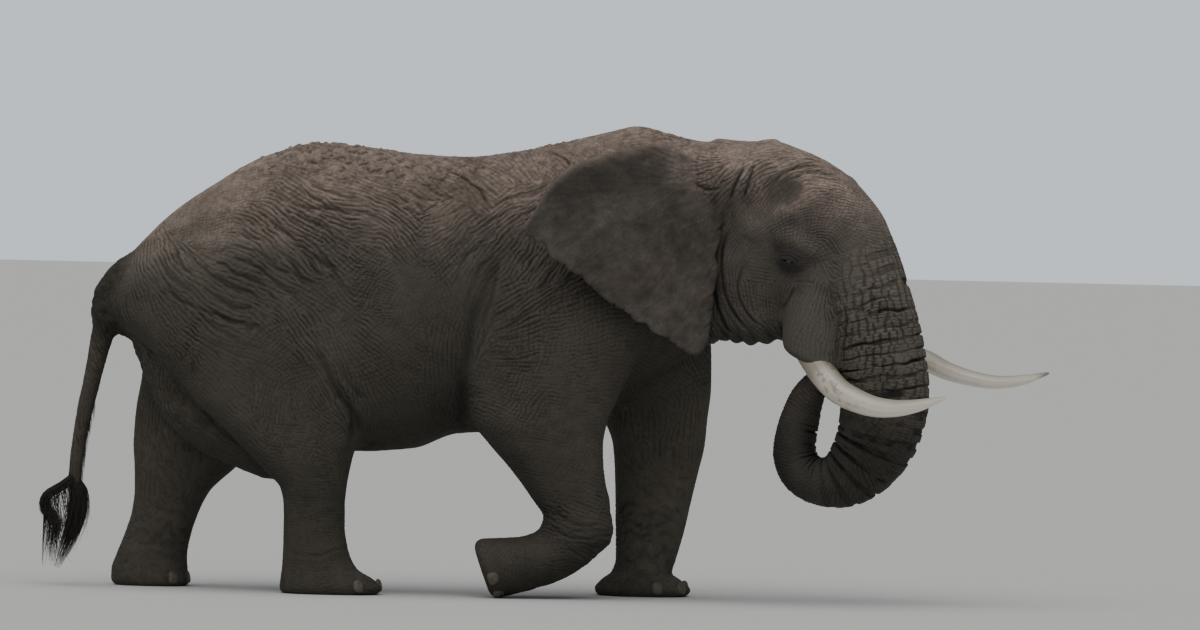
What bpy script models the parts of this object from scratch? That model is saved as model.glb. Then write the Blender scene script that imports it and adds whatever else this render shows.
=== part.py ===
"""African elephant bull walking, head turned a little to its right and trunk curled to the mouth. Life size, in metres."""
import bmesh
import bpy
import numpy as np
from mathutils import Matrix, Vector

# ---------------------------------------------------------------- the animal (metres; +X forward, +Y its left, +Z up, floor at Z = 0)
HEAD_AT = np.array([1.80, -0.12, 2.40])
HEAD_YAW, HEAD_ROLL = -24.0, 7.0
# station x, back z, belly z, half width, z of widest line, roundness above, roundness below
TORSO = [
    (-2.69, 1.99, 1.78, 0.1, 1.90, 2, 2),
    (-2.60, 2.13, 1.73, 0.25, 1.88, 2, 2),
    (-2.45, 2.32, 1.6, 0.35, 1.88, 1.9, 2),
    (-2.25, 2.52, 1.42, 0.42, 1.88, 1.85, 2),
    (-2.00, 2.7, 1.22, 0.465, 1.85, 1.8, 2),
    (-1.65, 2.905, 1.06, 0.505, 1.80, 1.75, 2),
    (-1.28, 3.005, 0.98, 0.545, 1.75, 1.75, 2),
    (-0.95, 2.985, 0.945, 0.58, 1.72, 1.8, 2),
    (-0.60, 2.945, 0.975, 0.6, 1.72, 1.85, 2),
    (-0.30, 2.935, 1.08, 0.595, 1.74, 1.85, 2),
    (0.05, 2.98, 1.1, 0.56, 1.78, 1.8, 2),
    (0.35, 3.045, 1.14, 0.515, 1.84, 1.7, 2),
    (0.65, 3.12, 1.25, 0.46, 1.92, 1.65, 2),
    (0.86, 3.165, 1.38, 0.41, 2.00, 1.6, 2),
    (1.12, 3.105, 1.56, 0.36, 2.10, 1.7, 2),
    (1.40, 3.045, 1.74, 0.32, 2.20, 1.9, 2),
    (1.70, 2.9, 1.93, 0.28, 2.30, 2, 2),
]
# height, rear x, front x, y, half width
FORE_LEFT = [
    (0.00, 0.65, 1.255, 0.37, 0.235),
    (0.045, 0.635, 1.28, 0.37, 0.25),
    (0.10, 0.675, 1.225, 0.37, 0.235),
    (0.16, 0.745, 1.155, 0.37, 0.205),
    (0.25, 0.772, 1.178, 0.37, 0.19),
    (0.42, 0.768, 1.225, 0.38, 0.188),
    (0.64, 0.762, 1.272, 0.39, 0.20),
    (0.85, 0.752, 1.318, 0.40, 0.215),
    (1.02, 0.735, 1.355, 0.41, 0.235),
    (1.20, 0.66, 1.37, 0.41, 0.255),
    (1.42, 0.52, 1.39, 0.395, 0.26),
    (1.68, 0.40, 1.385, 0.36, 0.27),
    (1.95, 0.34, 1.30, 0.33, 0.26),
    (2.30, 0.36, 1.16, 0.28, 0.225),
    (2.70, 0.48, 1.02, 0.21, 0.16),
]
FORE_RIGHT = [
    (0.40, 0.34, 0.705, -0.40, 0.175),
    (0.47, 0.305, 0.725, -0.40, 0.185),
    (0.55, 0.285, 0.722, -0.40, 0.19),
    (0.65, 0.215, 0.722, -0.40, 0.195),
    (0.76, 0.135, 0.695, -0.405, 0.205),
    (0.89, 0.03, 0.675, -0.41, 0.22),
    (1.03, -0.095, 0.668, -0.415, 0.235),
    (1.17, -0.205, 0.69, -0.415, 0.255),
    (1.32, -0.235, 0.75, -0.40, 0.26),
    (1.60, -0.215, 0.86, -0.375, 0.27),
    (1.90, -0.12, 0.96, -0.34, 0.265),
    (2.25, 0.05, 1.02, -0.29, 0.235),
    (2.65, 0.28, 1.00, -0.21, 0.16),
]
HIND_RIGHT = [
    (0.00, -1.455, -0.81, -0.36, 0.215),
    (0.045, -1.465, -0.785, -0.36, 0.225),
    (0.10, -1.46, -0.845, -0.36, 0.21),
    (0.17, -1.452, -0.955, -0.36, 0.19),
    (0.31, -1.447, -1.018, -0.36, 0.178),
    (0.45, -1.447, -1.04, -0.365, 0.178),
    (0.60, -1.452, -1.042, -0.37, 0.19),
    (0.70, -1.475, -1.035, -0.375, 0.205),
    (0.80, -1.565, -1.02, -0.375, 0.22),
    (0.90, -1.665, -1.00, -0.375, 0.232),
    (1.10, -1.87, -0.95, -0.365, 0.24),
    (1.30, -2.08, -0.90, -0.355, 0.245),
    (1.58, -2.285, -0.84, -0.345, 0.245),
    (1.80, -2.42, -0.85, -0.32, 0.24),
    (2.00, -2.46, -0.95, -0.285, 0.23),
    (2.28, -2.27, -1.15, -0.235, 0.19),
    (2.44, -1.98, -1.35, -0.18, 0.10),
]
HIND_LEFT = [
    (0.00, -2.615, -2.12, 0.36, 0.215),
    (0.045, -2.635, -2.105, 0.36, 0.225),
    (0.10, -2.635, -2.12, 0.36, 0.215),
    (0.20, -2.605, -2.127, 0.36, 0.192),
    (0.36, -2.545, -2.10, 0.36, 0.178),
    (0.50, -2.505, -2.055, 0.365, 0.178),
    (0.64, -2.49, -1.985, 0.37, 0.19),
    (0.80, -2.495, -1.82, 0.375, 0.215),
    (0.95, -2.505, -1.66, 0.375, 0.24),
    (1.20, -2.49, -1.45, 0.355, 0.24),
    (1.45, -2.455, -1.25, 0.345, 0.245),
    (1.75, -2.47, -1.05, 0.32, 0.24),
    (2.00, -2.45, -1.00, 0.285, 0.23),
    (2.28, -2.25, -1.15, 0.235, 0.19),
    (2.44, -1.98, -1.35, 0.18, 0.10),
]
# in the head's own frame: height, rear, front, side, half width
SKULL = [
    (-0.44, -0.30, 0.56, 0.0, 0.25),
    (-0.30, -0.42, 0.74, 0.0, 0.325),
    (-0.18, -0.48, 0.835, 0.0, 0.365),
    (-0.04, -0.50, 0.805, 0.0, 0.385),
    (0.08, -0.50, 0.775, 0.0, 0.385),
    (0.20, -0.50, 0.73, 0.0, 0.378),
    (0.32, -0.50, 0.64, 0.0, 0.362),
    (0.43, -0.50, 0.53, 0.0, 0.335),
    (0.52, -0.50, 0.40, 0.0, 0.295),
    (0.595, -0.50, 0.25, 0.0, 0.245),
    (0.65, -0.47, 0.10, 0.0, 0.175),
    (0.675, -0.40, 0.00, 0.0, 0.10),
]
# the trunk's own line: world x in the head's upright plane, height, radius, width over depth
TRUNK = [
    (2.32, 2.42, 0.20, 1.30),
    (2.36, 2.26, 0.245, 1.20),
    (2.415, 2.05, 0.275, 1.05),
    (2.475, 1.83, 0.285, 0.98),
    (2.515, 1.62, 0.29, 0.94),
    (2.537, 1.42, 0.294, 0.90),
    (2.522, 1.25, 0.287, 0.86),
    (2.48, 1.09, 0.265, 0.84),
    (2.395, 0.945, 0.228, 0.86),
    (2.28, 0.84, 0.188, 0.92),
    (2.135, 0.813, 0.157, 0.98),
    (2.01, 0.868, 0.149, 1.0),
    (1.952, 0.985, 0.144, 1.0),
    (1.957, 1.12, 0.137, 1.0),
    (1.985, 1.25, 0.128, 1.0),
    (2.02, 1.36, 0.113, 1.0),
    (2.062, 1.44, 0.096, 1.0),
    (2.11, 1.505, 0.08, 1.0),
]
EAR = [(1.38, 2.87), (1.27, 2.965), (1.13, 3.015), (0.98, 3.04), (0.82, 3.015), (0.60, 2.955), (0.43, 2.89), (0.29, 2.76), (0.19, 2.605), (0.095, 2.455),
       (0.135, 2.395), (0.25, 2.33), (0.31, 2.255), (0.50, 2.13), (0.71, 1.965), (0.92, 1.83), (1.10, 1.72), (1.23, 1.652), (1.32, 1.66),
       (1.36, 1.80), (1.40, 2.10), (1.42, 2.40), (1.46, 2.75)]
TAIL = [(-2.52, 2.10, 0.13), (-2.625, 2.00, 0.118), (-2.69, 1.88, 0.094), (-2.698, 1.73, 0.078), (-2.735, 1.56, 0.065), (-2.77, 1.38, 0.057),
        (-2.81, 1.20, 0.052), (-2.84, 1.02, 0.047), (-2.862, 0.86, 0.043), (-2.873, 0.70, 0.041)]
TAIL_END = 0.745
TUFT_BACK = [(-2.872, 0.80, 0.042), (-2.872, 0.70, 0.046), (-2.845, 0.62, 0.058), (-2.85, 0.50, 0.062), (-2.885, 0.37, 0.055), (-2.93, 0.25, 0.04), (-2.985, 0.12, 0.02)]
TUFT_SIDE = [(-2.87, 0.73, 0.036), (-2.96, 0.665, 0.032), (-3.055, 0.60, 0.026), (-3.06, 0.51, 0.026), (-2.985, 0.42, 0.026), (-3.01, 0.30, 0.022), (-3.02, 0.16, 0.015)]
# tusks leave the lip at c = about -0.8 of the head; world x, y, z, radius
TUSK_RIGHT = [(1.99, -0.50, 1.72, 0.085), (2.06, -0.545, 1.62, 0.092), (2.125, -0.60, 1.53, 0.092), (2.215, -0.67, 1.435, 0.088), (2.32, -0.75, 1.378, 0.081),
              (2.44, -0.84, 1.338, 0.071), (2.56, -0.93, 1.328, 0.060), (2.68, -1.01, 1.341, 0.048), (2.80, -1.06, 1.372, 0.032), (2.915, -1.09, 1.41, 0.008)]
TUSK_LEFT = [(2.26, 0.13, 1.80, 0.085), (2.34, 0.155, 1.735, 0.092), (2.46, 0.185, 1.69, 0.09), (2.63, 0.215, 1.67, 0.084), (2.82, 0.235, 1.637, 0.074),
             (2.97, 0.245, 1.57, 0.064), (3.14, 0.245, 1.52, 0.054), (3.32, 0.23, 1.497, 0.046), (3.50, 0.20, 1.52, 0.034), (3.665, 0.165, 1.57, 0.009)]
# skin that hangs between the thighs: x, z, radius
GROIN = [(-2.36, 1.60, 0.12), (-2.17, 1.28, 0.165), (-1.97, 1.10, 0.18), (-1.76, 0.97, 0.15), (-1.56, 0.86, 0.115), (-1.44, 0.86, 0.11)]
# in the head's frame, right side: the tusk's sheath, and its lip's rear point and downward direction in the plane of profile
SHEATH = [(0.345, -0.205, -0.16, 0.14), (0.35, -0.25, -0.34, 0.155), (0.355, -0.285, -0.50, 0.16), (0.365, -0.315, -0.66, 0.16), (0.385, -0.335, -0.80, 0.15)]
LIP_REAR, LIP_DOWN = (0.17, -0.67), (-0.338, -0.941)
FLEXED_FOOT = [(0.55, 0.45, 0.175), (0.46, 0.375, 0.185), (0.33, 0.29, 0.18), (0.18, 0.235, 0.18), (0.02, 0.205, 0.195), (-0.08, 0.19, 0.205)]
SOLE_LOW, SOLE_HIGH = (-0.055, 0.0), (-0.19, 0.375)
EYE_RADIUS = 0.041
EYE_AT = (0.2615, 0.402, -0.0665)  # in the head's frame, mirrored for the right
# thin cuts between bodies, grid of the solid and its triangles
# ---------------------------------------------------------------- solids
GAP = 0.0004
CELL = 0.032
BODY_TRIS = 4500

# ---------------------------------------------------------------- implicit modelling helpers
BIG = 9.0


def smin(a, b, k):
    """Union of two solids with a fillet about k wide."""
    h = np.maximum(k - np.abs(a - b), 0.0) / k
    return np.minimum(a, b) - h * h * k * 0.25


def smax(a, b, k):
    """What two solids share, with a fillet about k wide."""
    h = np.maximum(k - np.abs(a - b), 0.0) / k
    return np.maximum(a, b) + h * h * k * 0.25


def step01(lo, hi, x):
    t = np.clip((x - lo) / (hi - lo), 0.0, 1.0)
    return t * t * (3.0 - 2.0 * t)


def rotation(yaw=0.0, pitch=0.0, roll=0.0):
    """Axes of a tilted mass as rows: forward, left, up. Degrees; pitch lifts the nose, yaw turns it left, roll lifts the left side."""
    y, p, r = np.radians([yaw, pitch, roll])
    cy, sy, cp, sp, cr, sr = np.cos(y), np.sin(y), np.cos(p), np.sin(p), np.cos(r), np.sin(r)
    f = np.array([cy * cp, sy * cp, sp])
    l0 = np.array([-sy, cy, 0.0])
    u0 = np.cross(f, l0)
    l = l0 * cr + u0 * sr
    u = np.cross(f, l)
    return np.array([f, l, u])


def curve(xs, ys):
    """A smooth curve through the stations (monotone cubic), as a function of position."""
    xs, ys = np.asarray(xs, float), np.asarray(ys, float)
    h = np.diff(xs)
    d = np.diff(ys) / h
    m = np.zeros(len(xs))
    m[0], m[-1] = d[0], d[-1]
    for i in range(1, len(xs) - 1):
        if d[i - 1] * d[i] > 0:
            w1, w2 = 2 * h[i] + h[i - 1], h[i] + 2 * h[i - 1]
            m[i] = (w1 + w2) / (w1 / d[i - 1] + w2 / d[i])

    def at(x):
        x = np.clip(x, xs[0], xs[-1])
        i = np.clip(np.searchsorted(xs, x, side="right") - 1, 0, len(h) - 1)
        t = (x - xs[i]) / h[i]
        t2, t3 = t * t, t * t * t
        return ((2 * t3 - 3 * t2 + 1) * ys[i] + (t3 - 2 * t2 + t) * h[i] * m[i]
                + (-2 * t3 + 3 * t2) * ys[i + 1] + (t3 - t2) * h[i] * m[i + 1])

    return at


def table(rows):
    """Columns of a station table as smooth curves of its first column."""
    cols = list(zip(*rows))
    return [curve(cols[0], c) for c in cols[1:]]


def near(P, lo, hi, pad):
    return np.flatnonzero(((P > np.asarray(lo) - pad) & (P < np.asarray(hi) + pad)).all(1))


def ball(P, centre, radii, axes=None, pad=0.35):
    """Ellipsoid, as a signed distance."""
    c, r = np.asarray(centre, float), np.asarray(radii, float)
    d = np.full(len(P), BIG, np.float32)
    m = float(r.max())
    i = near(P, c - m, c + m, pad)
    if len(i):
        q = P[i] - c
        if axes is not None:
            q = q @ axes.T
        k0 = np.sqrt(((q / r) ** 2).sum(1)) + 1e-9
        k1 = np.sqrt(((q / r**2) ** 2).sum(1)) + 1e-9
        d[i] = k0 * (k0 - 1.0) / k1
    return d


def smooth_path(points, n):
    """A path through the given rows (Catmull-Rom), resampled to n rows. Any number of columns."""
    p = np.asarray(points, float)
    q = np.vstack([2 * p[0] - p[1], p, 2 * p[-1] - p[-2]])
    t = np.linspace(0, len(p) - 1 - 1e-9, n)
    i = t.astype(int)
    f = (t - i)[:, None]
    a, b, c, d = q[i], q[i + 1], q[i + 2], q[i + 3]
    return 0.5 * (2 * b + (c - a) * f + (2 * a - 5 * b + 4 * c - d) * f**2 + (3 * b - a - 3 * c + d) * f**3)


def limb(P, path, side=None, flat=1.0, pad=0.35, along=False):
    """Round tube along path rows (x, y, z, r). With side, its width along that axis is flat times r. along also gives the share of the path's length nearest each point."""
    path = np.asarray(path, float)
    lo = (path[:, :3] - path[:, 3:4] * max(flat, 1)).min(0)
    hi = (path[:, :3] + path[:, 3:4] * max(flat, 1)).max(0)
    d = np.full(len(P), BIG, np.float32)
    s = np.zeros(len(P), np.float32)
    i = near(P, lo, hi, pad)
    if not len(i):
        return (d, s) if along else d
    q = P[i]
    best = np.full(len(i), BIG)
    where = np.zeros(len(i))
    length = np.r_[0, np.cumsum(np.linalg.norm(np.diff(path[:, :3], axis=0), axis=1))]
    for j in range(len(path) - 1):
        a, b = path[j], path[j + 1]
        ab = b[:3] - a[:3]
        t = np.clip(((q - a[:3]) @ ab) / (ab @ ab), 0, 1)
        off = q - a[:3] - t[:, None] * ab
        if side is not None:
            s_ax = side[j] if np.ndim(side) == 2 else side
            f_ax = flat
            comp = off @ s_ax
            off = off + (comp / f_ax - comp)[:, None] * s_ax
        e = np.sqrt((off * off).sum(1)) - (a[3] + t * (b[3] - a[3]))
        better = e < best
        best = np.where(better, e, best)
        where = np.where(better, length[j] + t * (length[j + 1] - length[j]), where)
    d[i] = best
    s[i] = where / length[-1]
    return (d, s) if along else d


def column(P, rows, power=2.0, pad=0.3):
    """Upright limb from station rows (z, rear x, front x, y, half width): each level is an oval."""
    z0, z1 = rows[0][0], rows[-1][0]
    rear, front, yc, hw = table(rows)
    xs = [r[1] for r in rows] + [r[2] for r in rows]
    ys = [abs(r[4]) for r in rows]
    yy = [r[3] for r in rows]
    i = near(P, (min(xs), min(yy) - max(ys), z0), (max(xs), max(yy) + max(ys), z1), pad)
    d = np.full(len(P), BIG, np.float32)
    if len(i):
        q = P[i]
        z = np.clip(q[:, 2], z0, z1)
        a, b = rear(z), front(z)
        rx, ry = (b - a) / 2, hw(z)
        dx, dy = q[:, 0] - (a + b) / 2, q[:, 1] - yc(z)
        k0 = ((np.abs(dx) / rx) ** power + (np.abs(dy) / ry) ** power) ** (1 / power) + 1e-9
        r = np.sqrt(dx * dx + dy * dy) + 1e-9
        e = np.where(k0 > 1, r * (1 - 1 / k0), (k0 - 1) * np.minimum(rx, ry))
        over = np.abs(q[:, 2] - z)
        d[i] = np.where(over > 0, np.sqrt(np.maximum(e, 0) ** 2 + over**2) + np.minimum(e, 0) * 0, e)
    return d


def barrel(P, rows, pad=0.4):
    """Body lofted along X from station rows (x, top z, bottom z, half width, z of the widest line, roundness above, roundness below)."""
    x0, x1 = rows[0][0], rows[-1][0]
    top, bot, wid, mid, nu, nd = table(rows)
    i = near(P, (x0, -max(r[3] for r in rows), min(r[2] for r in rows)),
             (x1, max(r[3] for r in rows), max(r[1] for r in rows)), pad)
    d = np.full(len(P), BIG, np.float32)
    if len(i):
        q = P[i]
        x = np.clip(q[:, 0], x0, x1)
        w, m = wid(x), mid(x)
        up = q[:, 2] > m
        h = np.where(up, top(x) - m, m - bot(x))
        n = np.where(up, nu(x), nd(x))
        ay, az = np.abs(q[:, 1]), np.abs(q[:, 2] - m)
        k0 = ((ay / w) ** n + (az / h) ** n) ** (1 / n) + 1e-9
        r = np.sqrt(ay * ay + az * az) + 1e-9
        # first-order distance: value over gradient length
        gy = (ay / w) ** (n - 1) / w
        gz = (az / h) ** (n - 1) / h
        g = np.sqrt(gy * gy + gz * gz) / np.maximum(k0, 1e-6) ** (n - 1) + 1e-9
        e = (k0 - 1) / g
        e = np.where(k0 > 1, np.minimum(e, r * (1 - 1 / k0)), np.maximum(e, -np.minimum(w, h)))
        over = np.abs(q[:, 0] - x)
        d[i] = np.where(over > 0, np.sqrt(np.maximum(e, 0) ** 2 + over**2), e)
    return d


# ---------------------------------------------------------------- surface of an implicit solid
def surface(field, lo, hi, cell, coarse=4, reach=None):
    """Quads of field's zero surface on a grid: one point in each cell that the surface crosses, one face for each grid edge that it crosses."""
    lo, hi = np.asarray(lo, float), np.asarray(hi, float)
    nb = np.ceil((hi - lo) / (cell * coarse)).astype(int)
    n = nb * coarse + 1
    big = cell * coarse
    gx, gy, gz = [lo[k] + big * (np.arange(nb[k]) + 0.5) for k in range(3)]
    C = np.stack(np.meshgrid(gx, gy, gz, indexing="ij"), -1).reshape(-1, 3).astype(np.float32)
    dc = field(C)
    reach = reach or big * 0.87 * 1.35 + 0.012
    active = np.flatnonzero(np.abs(dc) < reach)
    F = np.repeat(np.repeat(np.repeat(np.sign(dc).reshape(nb).astype(np.float32), coarse, 0), coarse, 1), coarse, 2)
    F = np.pad(F, ((0, 1), (0, 1), (0, 1)), mode="edge")
    bi = np.stack(np.unravel_index(active, nb), 1)
    r = np.arange(coarse + 1)
    off = np.stack(np.meshgrid(r, r, r, indexing="ij"), -1).reshape(-1, 3)
    idx = (bi[:, None, :] * coarse + off[None]).reshape(-1, 3)
    flat = np.unique(np.ravel_multi_index(idx.T, n))
    ijk = np.stack(np.unravel_index(flat, n), 1)
    vals = np.empty(len(flat), np.float32)
    for s in range(0, len(flat), 1_500_000):
        part = ijk[s:s + 1_500_000]
        vals[s:s + 1_500_000] = field((lo + part * cell).astype(np.float32))
    F.reshape(-1)[flat] = vals
    F = np.where(F == 0, 1e-9, F)
    for _ in range(12):  # where corners of one sign meet only across a grid face, the weakest changes side
        S, weak = F < 0, []
        for ax in range(3):
            o1, o2 = [k for k in range(3) if k != ax]
            at = []
            for u, v in ((0, 0), (1, 0), (1, 1), (0, 1)):
                sl = [slice(None)] * 3
                sl[o1], sl[o2] = (slice(1, None) if u else slice(0, -1)), (slice(1, None) if v else slice(0, -1))
                at.append(S[tuple(sl)])
            odd = np.argwhere((at[0] == at[2]) & (at[1] == at[3]) & (at[0] != at[1]))
            if len(odd):
                four = np.repeat(odd[:, None, :], 4, 1)
                four[:, (1, 2), o1] += 1
                four[:, (2, 3), o2] += 1
                best = np.argmin(np.abs(F[four[..., 0], four[..., 1], four[..., 2]]), 1)
                weak.append(four[np.arange(len(four)), best])
        if not weak:
            break
        w = np.unique(np.concatenate(weak), axis=0)
        F[w[:, 0], w[:, 1], w[:, 2]] *= -1
    S = F < 0
    # cells that the surface crosses
    cs = n - 1
    cnt = np.zeros(cs, np.uint8)
    for a in (0, 1):
        for b in (0, 1):
            for c in (0, 1):
                cnt += S[a:a + cs[0], b:b + cs[1], c:c + cs[2]]
    cells = np.flatnonzero((cnt > 0) & (cnt < 8))
    ci = np.stack(np.unravel_index(cells, cs), 1)
    del cnt
    acc = np.zeros((len(cells), 3))
    num = np.zeros(len(cells))
    corners = [(0, 0, 0), (1, 0, 0), (0, 1, 0), (1, 1, 0), (0, 0, 1), (1, 0, 1), (0, 1, 1), (1, 1, 1)]
    V = [F[ci[:, 0] + a, ci[:, 1] + b, ci[:, 2] + c] for a, b, c in corners]
    for i in range(8):
        for j in range(i + 1, 8):
            a, b = np.array(corners[i]), np.array(corners[j])
            if np.abs(a - b).sum() != 1:
                continue
            cross = (V[i] < 0) != (V[j] < 0)
            t = V[i] / (V[i] - V[j] + 1e-30)
            pt = a + t[:, None] * (b - a)
            acc[cross] += pt[cross]
            num[cross] += 1
    verts = lo + (ci + acc / num[:, None]) * cell
    index = np.full(int(np.prod(cs)), -1, np.int32)
    index[cells] = np.arange(len(cells))
    index = index.reshape(cs)
    quads = []
    for ax in range(3):
        o1, o2 = [k for k in range(3) if k != ax]
        sl0 = [slice(None)] * 3
        sl1 = [slice(None)] * 3
        sl0[ax], sl1[ax] = slice(0, -1), slice(1, None)
        A, B = S[tuple(sl0)], S[tuple(sl1)]
        e = np.argwhere(A != B)
        keep = (e[:, o1] > 0) & (e[:, o2] > 0) & (e[:, o1] < n[o1] - 1) & (e[:, o2] < n[o2] - 1)
        e = e[keep]
        inside = A[e[:, 0], e[:, 1], e[:, 2]]
        q = []
        for da, db in ((0, 0), (1, 0), (1, 1), (0, 1)):
            c = e.copy()
            c[:, o1] -= da
            c[:, o2] -= db
            q.append(index[c[:, 0], c[:, 1], c[:, 2]])
        q = np.stack(q, 1)
        flip = inside if ax != 1 else ~inside
        q[~flip] = q[~flip][:, ::-1]
        quads.append(q)
    quads = np.concatenate(quads)
    return verts, quads


def gradient(field, P, h=0.004):
    g = np.empty((len(P), 3))
    for k in range(3):
        o = np.zeros(3)
        o[k] = h
        g[:, k] = field((P + o).astype(np.float32)) - field((P - o).astype(np.float32))
    return g / (2 * h)


def settle(field, P, rounds=2, most=0.02):
    """Moves points onto the zero surface."""
    for _ in range(rounds):
        d = field(P.astype(np.float32))
        g = gradient(field, P)
        l2 = np.maximum((g * g).sum(1), 0.05)
        move = np.clip(d / np.sqrt(l2), -most, most)
        P = P - g / np.sqrt(l2)[:, None] * move[:, None]
    return P


HEAD_AXES = rotation(HEAD_YAW, 0.0, HEAD_ROLL)
PLANE = rotation(HEAD_YAW)  # the upright plane the trunk hangs in


def from_head(a, b, c):
    return HEAD_AT + a * HEAD_AXES[0] + b * HEAD_AXES[1] + c * HEAD_AXES[2]


def trunk_path(n=60):
    t = smooth_path(TRUNK, n)
    a = (t[:, 0] - HEAD_AT[0]) / PLANE[0][0]
    xyz = HEAD_AT * (1, 1, 0) + a[:, None] * PLANE[0] + t[:, 1:2] * (0, 0, 1)
    return np.column_stack([xyz, t[:, 2]]), t[:, 3]


def flat_limb(P, path, flat, side, pad=0.35):
    """Tube whose width across changes along it; also the share of length."""
    lo = (path[:, :3] - path[:, 3:4] * 1.35).min(0)
    hi = (path[:, :3] + path[:, 3:4] * 1.35).max(0)
    d = np.full(len(P), BIG, np.float32)
    s = np.zeros(len(P), np.float32)
    i = near(P, lo, hi, pad)
    if not len(i):
        return d, s
    q = P[i]
    best = np.full(len(i), BIG)
    where = np.zeros(len(i))
    length = np.r_[0, np.cumsum(np.linalg.norm(np.diff(path[:, :3], axis=0), axis=1))]
    for j in range(len(path) - 1):
        a, b = path[j], path[j + 1]
        ab = b[:3] - a[:3]
        t = np.clip(((q - a[:3]) @ ab) / (ab @ ab), 0, 1)
        off = q - a[:3] - t[:, None] * ab
        f = flat[j] + t * (flat[j + 1] - flat[j])
        comp = off @ side
        off = off + (comp / f - comp)[:, None] * side
        e = (np.sqrt((off * off).sum(1)) - (a[3] + t * (b[3] - a[3]))) * np.minimum(f, 1)
        better = e < best
        best = np.where(better, e, best)
        where = np.where(better, length[j] + t * (length[j + 1] - length[j]), where)
    d[i] = best
    s[i] = where / length[-1]
    return d, s


def outline_distance(q, loop):
    """Signed distance in a plane to a closed outline, negative inside."""
    d = np.full(len(q), BIG)
    inside = np.zeros(len(q), bool)
    for a, b in zip(loop, np.roll(loop, -1, axis=0)):
        ab = b - a
        w = q - a
        t = np.clip((w @ ab) / (ab @ ab + 1e-12), 0, 1)
        e = w - t[:, None] * ab
        d = np.minimum(d, (e * e).sum(1))
        c = (a[1] > q[:, 1]) != (b[1] > q[:, 1])
        with np.errstate(divide="ignore", invalid="ignore"):
            xx = a[0] + (q[:, 1] - a[1]) * ab[0] / ab[1]
        inside ^= c & (q[:, 0] < xx)
    return np.where(inside, -1, 1) * np.sqrt(d)


EAR_LOOP = smooth_path(EAR + EAR[:1], 85)[:-1]


def ear_sheet(x, z):
    """How far out the middle of the ear's sheet stands."""
    s = np.clip((1.38 - x) / 1.28, -0.1, 1)
    out = 0.41 + 0.60 * s - 0.24 * s * s
    out = out + 0.035 * np.sin(np.pi * np.clip((z - 1.65) / 1.4, 0, 1)) * np.sin(np.pi * np.clip(s, 0, 1))
    out = out - 0.10 * step01(2.72, 3.10, z) * (1 - 0.3 * s)
    return out


def ear(P, side, dx=0.0, tall=1.0, thick=0.031, ragged=0.0):
    """side -1 is the right ear."""
    d = np.full(len(P), BIG, np.float32)
    lo = np.array([0.09 + dx, (0.35 if side > 0 else -0.9), 1.65])
    hi = np.array([1.5 + dx, (0.9 if side > 0 else -0.35), 3.06])
    i = near(P, lo, hi, 0.12)
    if len(i):
        q = P[i]
        x, y, z = q[:, 0] - dx, q[:, 1] * side, 3.0 + (q[:, 2] - 3.0) / tall
        flat = outline_distance(np.column_stack([x, z]), EAR_LOOP)
        if ragged:
            t = x - z
            flat = flat + ragged * step01(2.75, 2.45, z) * (0.5 + 0.5 * np.sin(19 * t + 2 * np.sin(7 * t)) + 0.7 * np.maximum(0, np.sin(43 * t + 1.7 + 3 * np.sin(11 * t))) ** 3)
        s = np.clip((1.38 - x) / 1.28, 0, 1)
        half = thick * (1 + 0.55 * (1 - step01(0.0, 0.45, s)) + 0.35 * step01(-0.10, -0.02, flat) * step01(2.5, 2.8, z))
        off = (np.abs(y - ear_sheet(x, z))) * 0.95
        e = flat + half
        d[i] = np.where(e > 0, np.hypot(e, off) - half, np.maximum(off - half, -half))
    return d


def fore_right(P):
    d = column(P, FORE_RIGHT, 2.1)
    path = np.array([(x, -0.40, z, r) for x, z, r in smooth_path(FLEXED_FOOT, 12)])
    f = limb(P, path, side=np.array([0.0, 1.0, 0.0]), flat=1.04)
    n = np.array([-(SOLE_HIGH[1] - SOLE_LOW[1]), 0.0, SOLE_HIGH[0] - SOLE_LOW[0]])
    n /= np.linalg.norm(n)
    sole = (P - np.array([SOLE_LOW[0], 0, SOLE_LOW[1]])) @ n
    f = np.where(f < 1.0, smax(f, sole, 0.07), f)
    d = np.where(np.minimum(d, f) < 1.0, smin(d, f, 0.10), d)
    return d


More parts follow.
